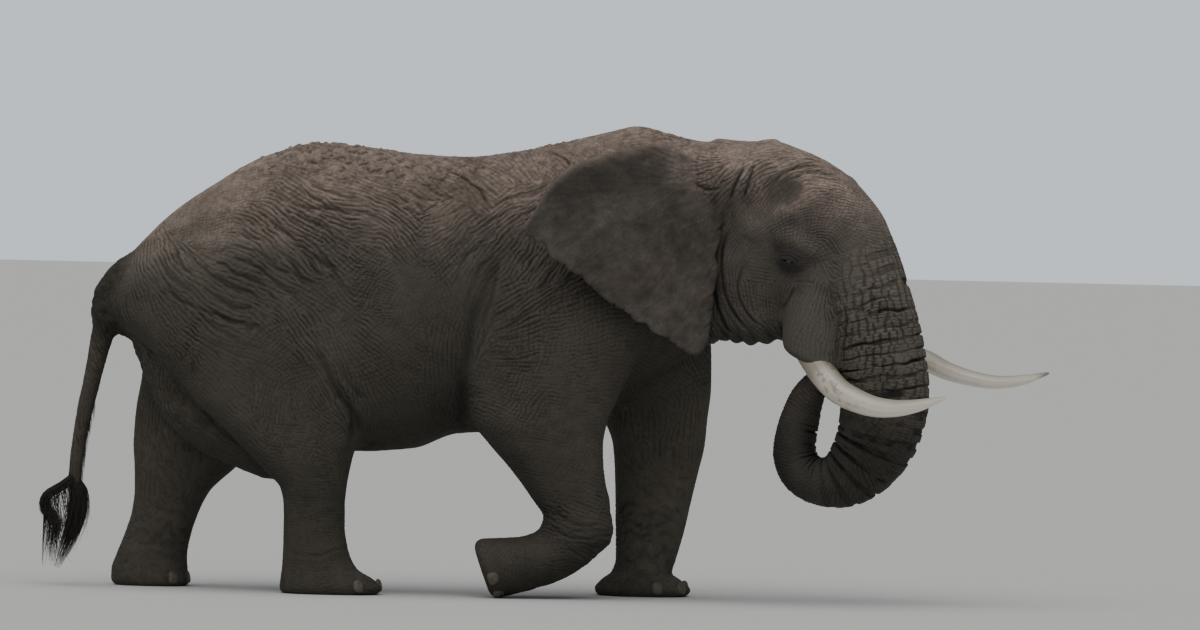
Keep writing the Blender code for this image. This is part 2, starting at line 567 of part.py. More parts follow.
def head(P):
    d = np.full(len(P), BIG, np.float32)
    i = near(P, HEAD_AT - (0.8, 0.75, 1.0), HEAD_AT + (1.15, 0.75, 0.75), 0.1)
    if not len(i):
        return d
    q = ((P[i] - HEAD_AT) @ HEAD_AXES.T).astype(np.float32)
    mirror = q.copy()
    mirror[:, 1] = -np.abs(q[:, 1])
    m = mirror
    e = column(q, SKULL, 2.25)
    c = q[:, 2]
    # cheeks and the jaw's corner
    e = smin(e, ball(m, (-0.14, -0.225, -0.33), (0.33, 0.15, 0.31), rotation(0, -8, 0)), 0.12)
    # lower jaw and lip
    e = smin(e, ball(m, (-0.06, -0.10, -0.49), (0.38, 0.20, 0.15), rotation(0, -3, 0)), 0.10)
    e = smin(e, ball(q, (0.34, 0.0, -0.59), (0.22, 0.12, 0.095), rotation(0, -14, 0)), 0.10)
    # sheaths of the tusks, wide flat pillars from below the eye to a slanting lip
    sheath = limb(m, smooth_path(SHEATH, 11), side=np.array([1.0, 0.0, 0.0]), flat=1.2)
    lip = (q[:, 0] - LIP_REAR[0]) * LIP_DOWN[0] + (c - LIP_REAR[1]) * LIP_DOWN[1]
    sheath = smax(sheath, lip, 0.06)
    e = smin(e, sheath, 0.035 + 0.10 * step01(-0.42, -0.20, c))
    # brow, cheekbone, temple
    e = smin(e, ball(m, (0.30, -0.345, 0.03), (0.17, 0.075, 0.075), rotation(0, -25, 0)), 0.06)
    e = smin(e, ball(m, (0.27, -0.375, -0.085), (0.085, 0.045, 0.065)), 0.05)
    e = smin(e, limb(m, np.array([(0.02, -0.315, 0.11, 0.045), (0.20, -0.315, 0.20, 0.05), (0.36, -0.275, 0.285, 0.055), (0.44, -0.22, 0.37, 0.05)])), 0.08)
    e = smax(e, -ball(m, (0.20, -0.455, 0.395), (0.15, 0.145, 0.125), rotation(0, 10, 0)), 0.08)
    e = smax(e, -ball(m, (0.0, -0.53, 0.30), (0.20, 0.16, 0.12), rotation(0, -10, 0)), 0.10)
    # root of the ear
    e = smin(e, ball(m, (-0.30, -0.32, 0.44), (0.24, 0.14, 0.17)), 0.10)
    # knob on the crown
    e = smin(e, ball(q, (-0.03, 0.02, 0.585), (0.13, 0.13, 0.105)), 0.06)
    d[i] = e
    return d


def body(P, detail=None, ears=True):
    """The whole animal without tusks, eyes and tail hair."""
    P = np.asarray(P, np.float32)
    d = barrel(P, TORSO)
    hind = np.minimum(column(P, HIND_LEFT, 2.2), column(P, HIND_RIGHT, 2.2))
    d = smin(d, hind, 0.16)
    fore = np.minimum(column(P, FORE_LEFT, 2.1), fore_right(P))
    d = smin(d, fore, 0.13)
    groin = np.array([(x, -0.06, z, r) for x, z, r in smooth_path(GROIN, 10)])
    d = smin(d, limb(P, groin, side=np.array([0.0, 1.0, 0.0]), flat=1.25), 0.05)
    # anal fold under the tail root
    d = smin(d, ball(P, (-2.59, 0.0, 1.845), (0.135, 0.12, 0.14)), 0.08)
    tail = np.array([(x, 0.0, z, r) for x, z, r in TAIL])
    d = smin(d, limb(P, smooth_path(tail, 26)), 0.06)
    h = head(P)
    path, flat = trunk_path()
    t, _ = flat_limb(P, path, flat, PLANE[1])
    h = smin(h, t, 0.09)
    d = smin(d, h, 0.14)
    if ears:
        thick, ragged = (0.018, 0.014) if detail else (0.031, 0.0)
        e = np.minimum(ear(P, -1.0, 0.0, 1.0, thick, ragged), ear(P, 1.0, 0.32, 0.92, thick, ragged))
        root = step01(2.50, 2.85, P[:, 2]) * step01(0.95, 1.30, P[:, 0])
        d = smin(d, e, 0.05 + 0.13 * root)
    # flat soles
    d = smax(d, -P[:, 2], 0.02)
    return d


def mesh_object(name, verts, faces):
    me = bpy.data.meshes.new(name)
    me.from_pydata([tuple(map(float, v)) for v in verts], [], [tuple(map(int, f)) for f in faces])
    me.validate()
    ob = bpy.data.objects.new(name, me)
    bpy.context.scene.collection.objects.link(ob)
    return ob


def applied(ob):
    """Bakes an object's modifiers into its mesh."""
    dg = bpy.context.evaluated_depsgraph_get()
    me = bpy.data.meshes.new_from_object(ob.evaluated_get(dg))
    ob.modifiers.clear()
    old = ob.data
    ob.data = me
    bpy.data.meshes.remove(old)
    return ob


def thinned(ob, tris):
    me = ob.data
    bm = bmesh.new()
    bm.from_mesh(me)
    bmesh.ops.triangulate(bm, faces=bm.faces)
    n = len(bm.faces)
    bm.to_mesh(me)
    bm.free()
    mod = ob.modifiers.new("fewer", "DECIMATE")
    mod.ratio = min(1.0, tris / n)
    applied(ob)
    bm = bmesh.new()
    bm.from_mesh(ob.data)
    bmesh.ops.triangulate(bm, faces=[f for f in bm.faces if len(f.verts) > 3])
    bm.to_mesh(ob.data)
    bm.free()
    return ob


def tube(path, sides, flat=1.0, across=(0.0, 1.0, 0.0), grow=0.0):
    """Closed swept solid along rows (x, y, z, r), with pointed-in ends."""
    path = np.asarray(path, float)
    c, r = path[:, :3], path[:, 3] + grow
    t = np.gradient(c, axis=0)
    t /= np.linalg.norm(t, axis=1)[:, None]
    b = np.asarray(across, float) - (t @ np.asarray(across, float))[:, None] * t
    b /= np.linalg.norm(b, axis=1)[:, None]
    n = np.cross(b, t)
    ang = np.linspace(0, 2 * np.pi, sides, endpoint=False)
    rings = [c[i] + r[i] * (np.cos(ang)[:, None] * n[i] + flat * np.sin(ang)[:, None] * b[i]) for i in range(len(c))]
    verts = [c[0] - t[0] * (r[0] * 0.25 + grow)] + [v for ring in rings for v in ring] + [c[-1] + t[-1] * (r[-1] * 0.8 + grow)]
    faces = []
    m = len(c)
    for j in range(sides):
        k = (j + 1) % sides
        faces.append((0, 1 + k, 1 + j))
        for i in range(m - 1):
            a, d = 1 + i * sides + j, 1 + i * sides + k
            e, f = a + sides, d + sides
            faces += [(a, d, f), (a, f, e)]
        faces.append((1 + (m - 1) * sides + j, 1 + (m - 1) * sides + k, len(verts) - 1))
    return np.array(verts), faces


def outward(ob):
    bm = bmesh.new()
    bm.from_mesh(ob.data)
    bmesh.ops.recalc_face_normals(bm, faces=bm.faces)
    if bm.calc_volume(signed=True) < 0:
        bmesh.ops.reverse_faces(bm, faces=bm.faces)
    bm.to_mesh(ob.data)
    bm.free()


def islands(bm):
    seen, groups = set(), []
    for f in bm.faces:
        if f.index in seen:
            continue
        stack, group = [f], []
        seen.add(f.index)
        while stack:
            g = stack.pop()
            group.append(g)
            for e in g.edges:
                for h in e.link_faces:
                    if h.index not in seen:
                        seen.add(h.index)
                        stack.append(h)
        groups.append(group)
    return groups


def part_off(source, name, at, normal, where):
    """One thin flat cut through source where the test holds; what lies beyond the plane becomes name."""
    at, normal = Vector(at), Vector(normal).normalized()
    bm = bmesh.new()
    bm.from_mesh(source.data)
    co = np.array([v.co for v in bm.verts])
    bm.verts.ensure_lookup_table()
    ok = where(co)
    faces = [f for f in bm.faces if all(ok[v.index] for v in f.verts)]
    geom = list({v for f in faces for v in f.verts}) + list({e for f in faces for e in f.edges}) + faces
    cut = bmesh.ops.bisect_plane(bm, geom=geom, dist=1e-5, plane_co=at, plane_no=normal)["geom_cut"]
    edges = [e for e in cut if isinstance(e, bmesh.types.BMEdge)]
    bmesh.ops.split_edges(bm, edges=edges)
    bm.faces.index_update()
    groups = islands(bm)
    moved = {}
    for k, group in enumerate(groups):
        rim = {e for f in group for e in f.edges if e.is_boundary}
        if not rim:
            continue
        side = sum((f.calc_center_median() - at).dot(normal) for e in rim for f in e.link_faces)
        sign = 1.0 if side > 0 else -1.0
        for v in {v for e in rim for v in e.verts}:
            moved[v] = sign
        bmesh.ops.edgeloop_fill(bm, edges=list(rim))
    for v, sign in moved.items():
        v.co += normal * (sign * GAP / 2)
    bm.faces.index_update()
    groups = islands(bm)
    if len(groups) != 2:
        raise ValueError("%s: %d pieces, sizes %s" % (name, len(groups), [len(g) for g in groups]))
    mean = [sum(((f.calc_center_median() - at).dot(normal)) * f.calc_area() for f in g if any(v in moved for v in f.verts)) for g in groups]
    far = groups[int(np.argmax(mean))]
    keep = groups[1 - int(np.argmax(mean))]
    out = bmesh.new()
    index = {}
    for f in far:
        for v in f.verts:
            if v not in index:
                index[v] = out.verts.new(v.co)
        out.faces.new([index[v] for v in f.verts])
    bmesh.ops.delete(bm, geom=far, context="FACES")
    for b in (bm, out):
        bmesh.ops.triangulate(b, faces=[f for f in b.faces if len(f.verts) > 3], quad_method="BEAUTY", ngon_method="EAR_CLIP")
    bm.to_mesh(source.data)
    bm.free()
    me = bpy.data.meshes.new(name)
    out.to_mesh(me)
    out.free()
    ob = bpy.data.objects.new(name, me)
    bpy.context.scene.collection.objects.link(ob)
    return ob


def hollowed(ob, cutter):
    mod = ob.modifiers.new("seat", "BOOLEAN")
    mod.operation, mod.solver, mod.object = "DIFFERENCE", "EXACT", cutter
    applied(ob)
    cm = cutter.data
    bpy.data.objects.remove(cutter)
    bpy.data.meshes.remove(cm)
    bm = bmesh.new()
    bm.from_mesh(ob.data)
    bmesh.ops.triangulate(bm, faces=[f for f in bm.faces if len(f.verts) > 3])
    bm.to_mesh(ob.data)
    bm.free()


def box(lo, hi):
    return lambda P: ((P > np.array(lo)) & (P < np.array(hi))).all(1)


def material(name, rgb, rough, metal=0.0):
    mat = bpy.data.materials.new(name)
    mat.use_nodes = True
    b = mat.node_tree.nodes["Principled BSDF"]
    b.inputs["Base Color"].default_value = (*rgb, 1.0)
    b.inputs["Roughness"].default_value = rough
    b.inputs["Metallic"].default_value = metal
    return mat


def surface_point(x, z, side):
    """Where a line across the animal at x, z meets its skin on one side (-1 right, 1 left)."""
    y = np.linspace(1.3, 0.0, 521) * side
    d = body(np.column_stack([np.full_like(y, x), y, np.full_like(y, z)]), ears=False)
    k = int(np.argmax(d < 0))
    return np.array([x, y[k], z])


def build():
    for ob in list(bpy.data.objects):
        bpy.data.objects.remove(ob)
    V, Q = surface(body, (-3.2, -1.0, -0.0512), (3.0, 1.0, 3.3), CELL)
    V = settle(body, V, 2, 0.012)
    V[:, 2] = np.where(V[:, 2] < 0.006, 0.0, V[:, 2])
    whole = mesh_object("torso_rear", V, Q)
    thinned(whole, BODY_TRIS)
    for v in whole.data.vertices:  # soles at one level
        v.co.z = 0.0 if v.co.z < 0.012 else v.co.z
    outward(whole)
    parts = {"torso_rear": whole}

    def cut(source, name, at, normal, where):
        parts[name] = part_off(parts[source], name, at, normal, where)

    def on_ear(side, dx, tall):
        return lambda P: np.abs(ear(P.astype(np.float32), side, dx, tall)) < 0.045

    cut("torso_rear", "ear_right", (1.13, -0.45, 2.8), (-0.977, 0.0, -0.212), on_ear(-1.0, 0.0, 1.0))
    cut("torso_rear", "ear_left", (1.36, 0.5, 2.8), (-0.977, 0.0, -0.212), on_ear(1.0, 0.32, 0.92))
    cut("torso_rear", "tail_base", (-2.75, 0.0, 1.49), (0.12, 0.0, -1.0), box((-3.0, -0.2, 0.9), (-2.60, 0.2, 1.75)))
    cut("tail_base", "tail_end", (-2.815, 0.0, 1.18), (-0.15, 0.0, -1.0), box((-3.1, -0.2, 0.5), (-2.5, 0.2, 1.6)))
    stub = part_off(parts["tail_end"], "stub", (-2.87, 0.0, TAIL_END), (0.0, 0.0, -1.0), box((-9, -9, -9), (9, 9, 9)))
    bpy.data.meshes.remove(stub.data)
    P, flat = trunk_path(60)

    def along(s):
        i = int(s * 59)
        t = P[i + 1, :3] - P[i - 1, :3]
        return P[i, :3], t / np.linalg.norm(t)

    def on_trunk(low, high):
        def test(Q):
            far, share = flat_limb(Q.astype(np.float32), P, flat, PLANE[1])
            return (np.abs(far) < 0.08) & (share > low) & (share < high)
        return test

    top = from_head(0.575, 0.0, -0.80)
    n = 0.894 * HEAD_AXES[0] - 0.447 * HEAD_AXES[2]
    c2, n2 = along(0.34)
    cut("torso_rear", "trunk_lower", c2, n2, on_trunk(0.08, 0.66))
    cut("torso_rear", "trunk_upper", top, n, box((1.9, -1.0, 1.3), (3.0, 0.6, 2.6)))
    c3, n3 = along(0.60)
    cut("trunk_lower", "trunk_curl", c3, n3, on_trunk(0.3, 0.86))
    c4, n4 = along(0.82)
    cut("trunk_curl", "trunk_tip", c4, n4, on_trunk(0.6, 1.1))
    cut("torso_rear", "foreleg_right", (0.3, -0.4, 1.055), (0.0, 0.0, -1.0), box((-0.62, -2, 0.2), (2, -0.02, 2.2)))
    cut("torso_rear", "foreleg_left", (1.0, 0.4, 1.055), (0.0, 0.0, -1.0), box((-0.4, 0.02, 0.1), (2, 2, 2.2)))
    cut("torso_rear", "hindleg_right", (-1.3, -0.4, 0.715), (0.0, 0.0, -1.0), box((-3, -2, 0.05), (-0.62, -0.02, 2)))
    cut("torso_rear", "hindleg_left", (-2.2, 0.4, 0.715), (0.0, 0.0, -1.0), box((-3, 0.02, 0.05), (-0.62, 2, 2)))
    cut("torso_rear", "head", (1.27, -0.03, 2.4), (0.957, -0.2, 0.206), box((0.3, -2, 1.1), (2.1, 2, 3.6)))
    cut("torso_rear", "neck", (0.86, 0.0, 3.2), (0.955, -0.06, 0.29), box((-9, -9, -9), (9, 9, 9)))
    cut("torso_rear", "torso_front", (-0.33, 0.0, 2.0), (1.0, 0.0, 0.05), box((-9, -9, 0), (9, 9, 9)))
    cut("torso_rear", "torso_middle", (-0.90, 0.0, 2.0), (1.0, 0.0, 0.0), box((-9, -9, 0), (9, 9, 9)))
    cut("foreleg_right", "forefoot_right", (0.5, -0.4, 0.475), (0.05, 0.0, -1.0), box((-9, -9, -9), (9, 9, 9)))
    cut("foreleg_left", "forefoot_left", (1.0, 0.4, 0.225), (0.1, 0.0, -1.0), box((-9, -9, -9), (9, 9, 9)))
    cut("hindleg_right", "hindfoot_right", (-1.2, -0.4, 0.235), (0.1, 0.0, -1.0), box((-9, -9, -9), (9, 9, 9)))
    cut("hindleg_left", "hindfoot_left", (-2.4, 0.4, 0.235), (0.1, 0.0, -1.0), box((-9, -9, -9), (9, 9, 9)))

    # tusks seated in the lips
    for name, rows in (("tusk_right", TUSK_RIGHT), ("tusk_left", TUSK_LEFT)):
        path = smooth_path(rows, 14)
        v, f = tube(path, 12)
        parts[name] = mesh_object(name, v, f)
        outward(parts[name])
        v, f = tube(path, 12, grow=0.0006)
        seat = mesh_object("seat", v, f)
        outward(seat)
        hollowed(parts["head"], seat)
    # eyeballs
    for name, side, (a, b, c) in (("eye_right", -1, from_head(EYE_AT[0], -EYE_AT[1], EYE_AT[2])), ("eye_left", 1, from_head(*EYE_AT))):
        for target, grow in ((name, 0.0), ("seat", 0.0006)):
            bm = bmesh.new()
            bmesh.ops.create_uvsphere(bm, u_segments=12, v_segments=8, radius=EYE_RADIUS + grow, matrix=Matrix.Translation((a, b, c)))
            bmesh.ops.triangulate(bm, faces=bm.faces)
            me = bpy.data.meshes.new(target)
            bm.to_mesh(me)
            bm.free()
            ob = bpy.data.objects.new(target, me)
            bpy.context.scene.collection.objects.link(ob)
            if grow:
                hollowed(parts["head"], ob)
            else:
                parts[name] = ob
    # hair at the tail's end: a thick lock and a thin curved one, grown from one root
    def tuft(P):
        a = np.array([(x, 0.0, z, r) for x, z, r in TUFT_BACK])
        b = np.array([(x, -0.03, z, r) for x, z, r in TUFT_SIDE])
        return smin(limb(P, smooth_path(a, 16)), limb(P, smooth_path(b, 16)), 0.02)

    V, Q = surface(lambda P: smax(tuft(P), P[:, 2] - TAIL_END, 0.004), (-3.15, -0.16, 0.02), (-2.7, 0.16, 0.9), 0.014)
    hair = mesh_object("tail_tuft", V, Q)
    thinned(hair, 320)
    for v in hair.data.vertices:
        v.co.z = TAIL_END - GAP / 2 if v.co.z > TAIL_END - 0.011 else v.co.z
    outward(hair)
    parts["tail_tuft"] = hair

    # the frame's origin: on the floor under the middle of the whole
    co = np.array([v.co for ob in parts.values() for v in ob.data.vertices])
    middle = Vector(((co[:, 0].min() + co[:, 0].max()) / 2, (co[:, 1].min() + co[:, 1].max()) / 2, co[:, 2].min()))
    print("middle", tuple(middle))
    for ob in parts.values():
        for v in ob.data.vertices:
            v.co -= middle

    looks = {"skin": material("skin", (0.12, 0.10, 0.085), 0.8), "ivory": material("ivory", (0.78, 0.70, 0.56), 0.4),
             "eye": material("eye", (0.03, 0.02, 0.012), 0.15), "hair": material("hair", (0.02, 0.018, 0.016), 0.7)}
    for name, ob in parts.items():
        ob.name = name
        ob.data.name = name
        kind = "ivory" if name.startswith("tusk") else "eye" if name.startswith("eye") else "hair" if name == "tail_tuft" else "skin"
        mat = looks[kind].copy()
        mat.name = name + "_look"
        ob.data.materials.clear()
        ob.data.materials.append(mat)
        for p in ob.data.polygons:
            p.use_smooth = False
    for mat in looks.values():
        bpy.data.materials.remove(mat)


build()
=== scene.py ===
import math
import time
from concurrent.futures import ThreadPoolExecutor

import bmesh
import bpy
import numpy as np
from mathutils import Matrix, Vector


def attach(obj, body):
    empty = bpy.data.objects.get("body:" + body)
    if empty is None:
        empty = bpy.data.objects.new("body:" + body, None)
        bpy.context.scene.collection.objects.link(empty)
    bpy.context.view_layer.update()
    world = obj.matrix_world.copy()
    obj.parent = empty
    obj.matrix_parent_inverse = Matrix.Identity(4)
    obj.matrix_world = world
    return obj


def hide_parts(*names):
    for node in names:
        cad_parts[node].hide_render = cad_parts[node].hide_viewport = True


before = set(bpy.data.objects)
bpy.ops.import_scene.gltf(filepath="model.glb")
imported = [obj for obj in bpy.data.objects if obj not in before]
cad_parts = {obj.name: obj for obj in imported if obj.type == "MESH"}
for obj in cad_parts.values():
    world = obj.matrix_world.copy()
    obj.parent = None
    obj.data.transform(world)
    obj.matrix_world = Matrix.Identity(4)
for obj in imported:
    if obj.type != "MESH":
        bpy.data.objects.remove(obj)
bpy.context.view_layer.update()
_start = time.time()


def clock(what):
    print("TIME %6.1f s  %s" % (time.time() - _start, what), flush=True)


# ---------------------------------------------------------------- implicit modelling helpers
BIG = 9.0


def smin(a, b, k):
    """Union of two solids with a fillet about k wide."""
    h = np.maximum(k - np.abs(a - b), 0.0) / k
    return np.minimum(a, b) - h * h * k * 0.25


def smax(a, b, k):
    """What two solids share, with a fillet about k wide."""
    h = np.maximum(k - np.abs(a - b), 0.0) / k
    return np.maximum(a, b) + h * h * k * 0.25


def step01(lo, hi, x):
    t = np.clip((x - lo) / (hi - lo), 0.0, 1.0)
    return t * t * (3.0 - 2.0 * t)


def rotation(yaw=0.0, pitch=0.0, roll=0.0):
    """Axes of a tilted mass as rows: forward, left, up. Degrees; pitch lifts the nose, yaw turns it left, roll lifts the left side."""
    y, p, r = np.radians([yaw, pitch, roll])
    cy, sy, cp, sp, cr, sr = np.cos(y), np.sin(y), np.cos(p), np.sin(p), np.cos(r), np.sin(r)
    f = np.array([cy * cp, sy * cp, sp])
    l0 = np.array([-sy, cy, 0.0])
    u0 = np.cross(f, l0)
    l = l0 * cr + u0 * sr
    u = np.cross(f, l)
    return np.array([f, l, u])


def curve(xs, ys):
    """A smooth curve through the stations (monotone cubic), as a function of position."""
    xs, ys = np.asarray(xs, float), np.asarray(ys, float)
    h = np.diff(xs)
    d = np.diff(ys) / h
    m = np.zeros(len(xs))
    m[0], m[-1] = d[0], d[-1]
    for i in range(1, len(xs) - 1):
        if d[i - 1] * d[i] > 0:
            w1, w2 = 2 * h[i] + h[i - 1], h[i] + 2 * h[i - 1]
            m[i] = (w1 + w2) / (w1 / d[i - 1] + w2 / d[i])

    def at(x):
        x = np.clip(x, xs[0], xs[-1])
        i = np.clip(np.searchsorted(xs, x, side="right") - 1, 0, len(h) - 1)
        t = (x - xs[i]) / h[i]
        t2, t3 = t * t, t * t * t
        return ((2 * t3 - 3 * t2 + 1) * ys[i] + (t3 - 2 * t2 + t) * h[i] * m[i]
                + (-2 * t3 + 3 * t2) * ys[i + 1] + (t3 - t2) * h[i] * m[i + 1])

    return at


def table(rows):
    """Columns of a station table as smooth curves of its first column."""
    cols = list(zip(*rows))
    return [curve(cols[0], c) for c in cols[1:]]


def near(P, lo, hi, pad):
    return np.flatnonzero(((P > np.asarray(lo) - pad) & (P < np.asarray(hi) + pad)).all(1))


def ball(P, centre, radii, axes=None, pad=0.35):
    """Ellipsoid, as a signed distance."""
    c, r = np.asarray(centre, float), np.asarray(radii, float)
    d = np.full(len(P), BIG, np.float32)
    m = float(r.max())
    i = near(P, c - m, c + m, pad)
    if len(i):
        q = P[i] - c
        if axes is not None:
            q = q @ axes.T
        k0 = np.sqrt(((q / r) ** 2).sum(1)) + 1e-9
        k1 = np.sqrt(((q / r**2) ** 2).sum(1)) + 1e-9
        d[i] = k0 * (k0 - 1.0) / k1
    return d


def smooth_path(points, n):
    """A path through the given rows (Catmull-Rom), resampled to n rows. Any number of columns."""
    p = np.asarray(points, float)
    q = np.vstack([2 * p[0] - p[1], p, 2 * p[-1] - p[-2]])
    t = np.linspace(0, len(p) - 1 - 1e-9, n)
    i = t.astype(int)
    f = (t - i)[:, None]
    a, b, c, d = q[i], q[i + 1], q[i + 2], q[i + 3]
    return 0.5 * (2 * b + (c - a) * f + (2 * a - 5 * b + 4 * c - d) * f**2 + (3 * b - a - 3 * c + d) * f**3)


def limb(P, path, side=None, flat=1.0, pad=0.35, along=False):
    """Round tube along path rows (x, y, z, r). With side, its width along that axis is flat times r. along also gives the share of the path's length nearest each point."""
    path = np.asarray(path, float)
    lo = (path[:, :3] - path[:, 3:4] * max(flat, 1)).min(0)
    hi = (path[:, :3] + path[:, 3:4] * max(flat, 1)).max(0)
    d = np.full(len(P), BIG, np.float32)
    s = np.zeros(len(P), np.float32)
    i = near(P, lo, hi, pad)
    if not len(i):
        return (d, s) if along else d
    q = P[i]
    best = np.full(len(i), BIG)
    where = np.zeros(len(i))
    length = np.r_[0, np.cumsum(np.linalg.norm(np.diff(path[:, :3], axis=0), axis=1))]
    for j in range(len(path) - 1):
        a, b = path[j], path[j + 1]
        ab = b[:3] - a[:3]
        t = np.clip(((q - a[:3]) @ ab) / (ab @ ab), 0, 1)
        off = q - a[:3] - t[:, None] * ab
        if side is not None:
            s_ax = side[j] if np.ndim(side) == 2 else side
            f_ax = flat
            comp = off @ s_ax
            off = off + (comp / f_ax - comp)[:, None] * s_ax
        e = np.sqrt((off * off).sum(1)) - (a[3] + t * (b[3] - a[3]))
        better = e < best
        best = np.where(better, e, best)
        where = np.where(better, length[j] + t * (length[j + 1] - length[j]), where)
    d[i] = best
    s[i] = where / length[-1]
    return (d, s) if along else d


def column(P, rows, power=2.0, pad=0.3):
    """Upright limb from station rows (z, rear x, front x, y, half width): each level is an oval."""
    z0, z1 = rows[0][0], rows[-1][0]
    rear, front, yc, hw = table(rows)
    xs = [r[1] for r in rows] + [r[2] for r in rows]
    ys = [abs(r[4]) for r in rows]
    yy = [r[3] for r in rows]
    i = near(P, (min(xs), min(yy) - max(ys), z0), (max(xs), max(yy) + max(ys), z1), pad)
    d = np.full(len(P), BIG, np.float32)
    if len(i):
        q = P[i]
        z = np.clip(q[:, 2], z0, z1)
        a, b = rear(z), front(z)
        rx, ry = (b - a) / 2, hw(z)
        dx, dy = q[:, 0] - (a + b) / 2, q[:, 1] - yc(z)
        k0 = ((np.abs(dx) / rx) ** power + (np.abs(dy) / ry) ** power) ** (1 / power) + 1e-9
        r = np.sqrt(dx * dx + dy * dy) + 1e-9
        e = np.where(k0 > 1, r * (1 - 1 / k0), (k0 - 1) * np.minimum(rx, ry))
        over = np.abs(q[:, 2] - z)
        d[i] = np.where(over > 0, np.sqrt(np.maximum(e, 0) ** 2 + over**2) + np.minimum(e, 0) * 0, e)
    return d


def barrel(P, rows, pad=0.4):
    """Body lofted along X from station rows (x, top z, bottom z, half width, z of the widest line, roundness above, roundness below)."""
    x0, x1 = rows[0][0], rows[-1][0]
    top, bot, wid, mid, nu, nd = table(rows)
    i = near(P, (x0, -max(r[3] for r in rows), min(r[2] for r in rows)),
             (x1, max(r[3] for r in rows), max(r[1] for r in rows)), pad)
    d = np.full(len(P), BIG, np.float32)
    if len(i):
        q = P[i]
        x = np.clip(q[:, 0], x0, x1)
        w, m = wid(x), mid(x)
        up = q[:, 2] > m
        h = np.where(up, top(x) - m, m - bot(x))
        n = np.where(up, nu(x), nd(x))
        ay, az = np.abs(q[:, 1]), np.abs(q[:, 2] - m)
        k0 = ((ay / w) ** n + (az / h) ** n) ** (1 / n) + 1e-9
        r = np.sqrt(ay * ay + az * az) + 1e-9
        # first-order distance: value over gradient length
        gy = (ay / w) ** (n - 1) / w
        gz = (az / h) ** (n - 1) / h
        g = np.sqrt(gy * gy + gz * gz) / np.maximum(k0, 1e-6) ** (n - 1) + 1e-9
        e = (k0 - 1) / g
        e = np.where(k0 > 1, np.minimum(e, r * (1 - 1 / k0)), np.maximum(e, -np.minimum(w, h)))
        over = np.abs(q[:, 0] - x)
        d[i] = np.where(over > 0, np.sqrt(np.maximum(e, 0) ** 2 + over**2), e)
    return d


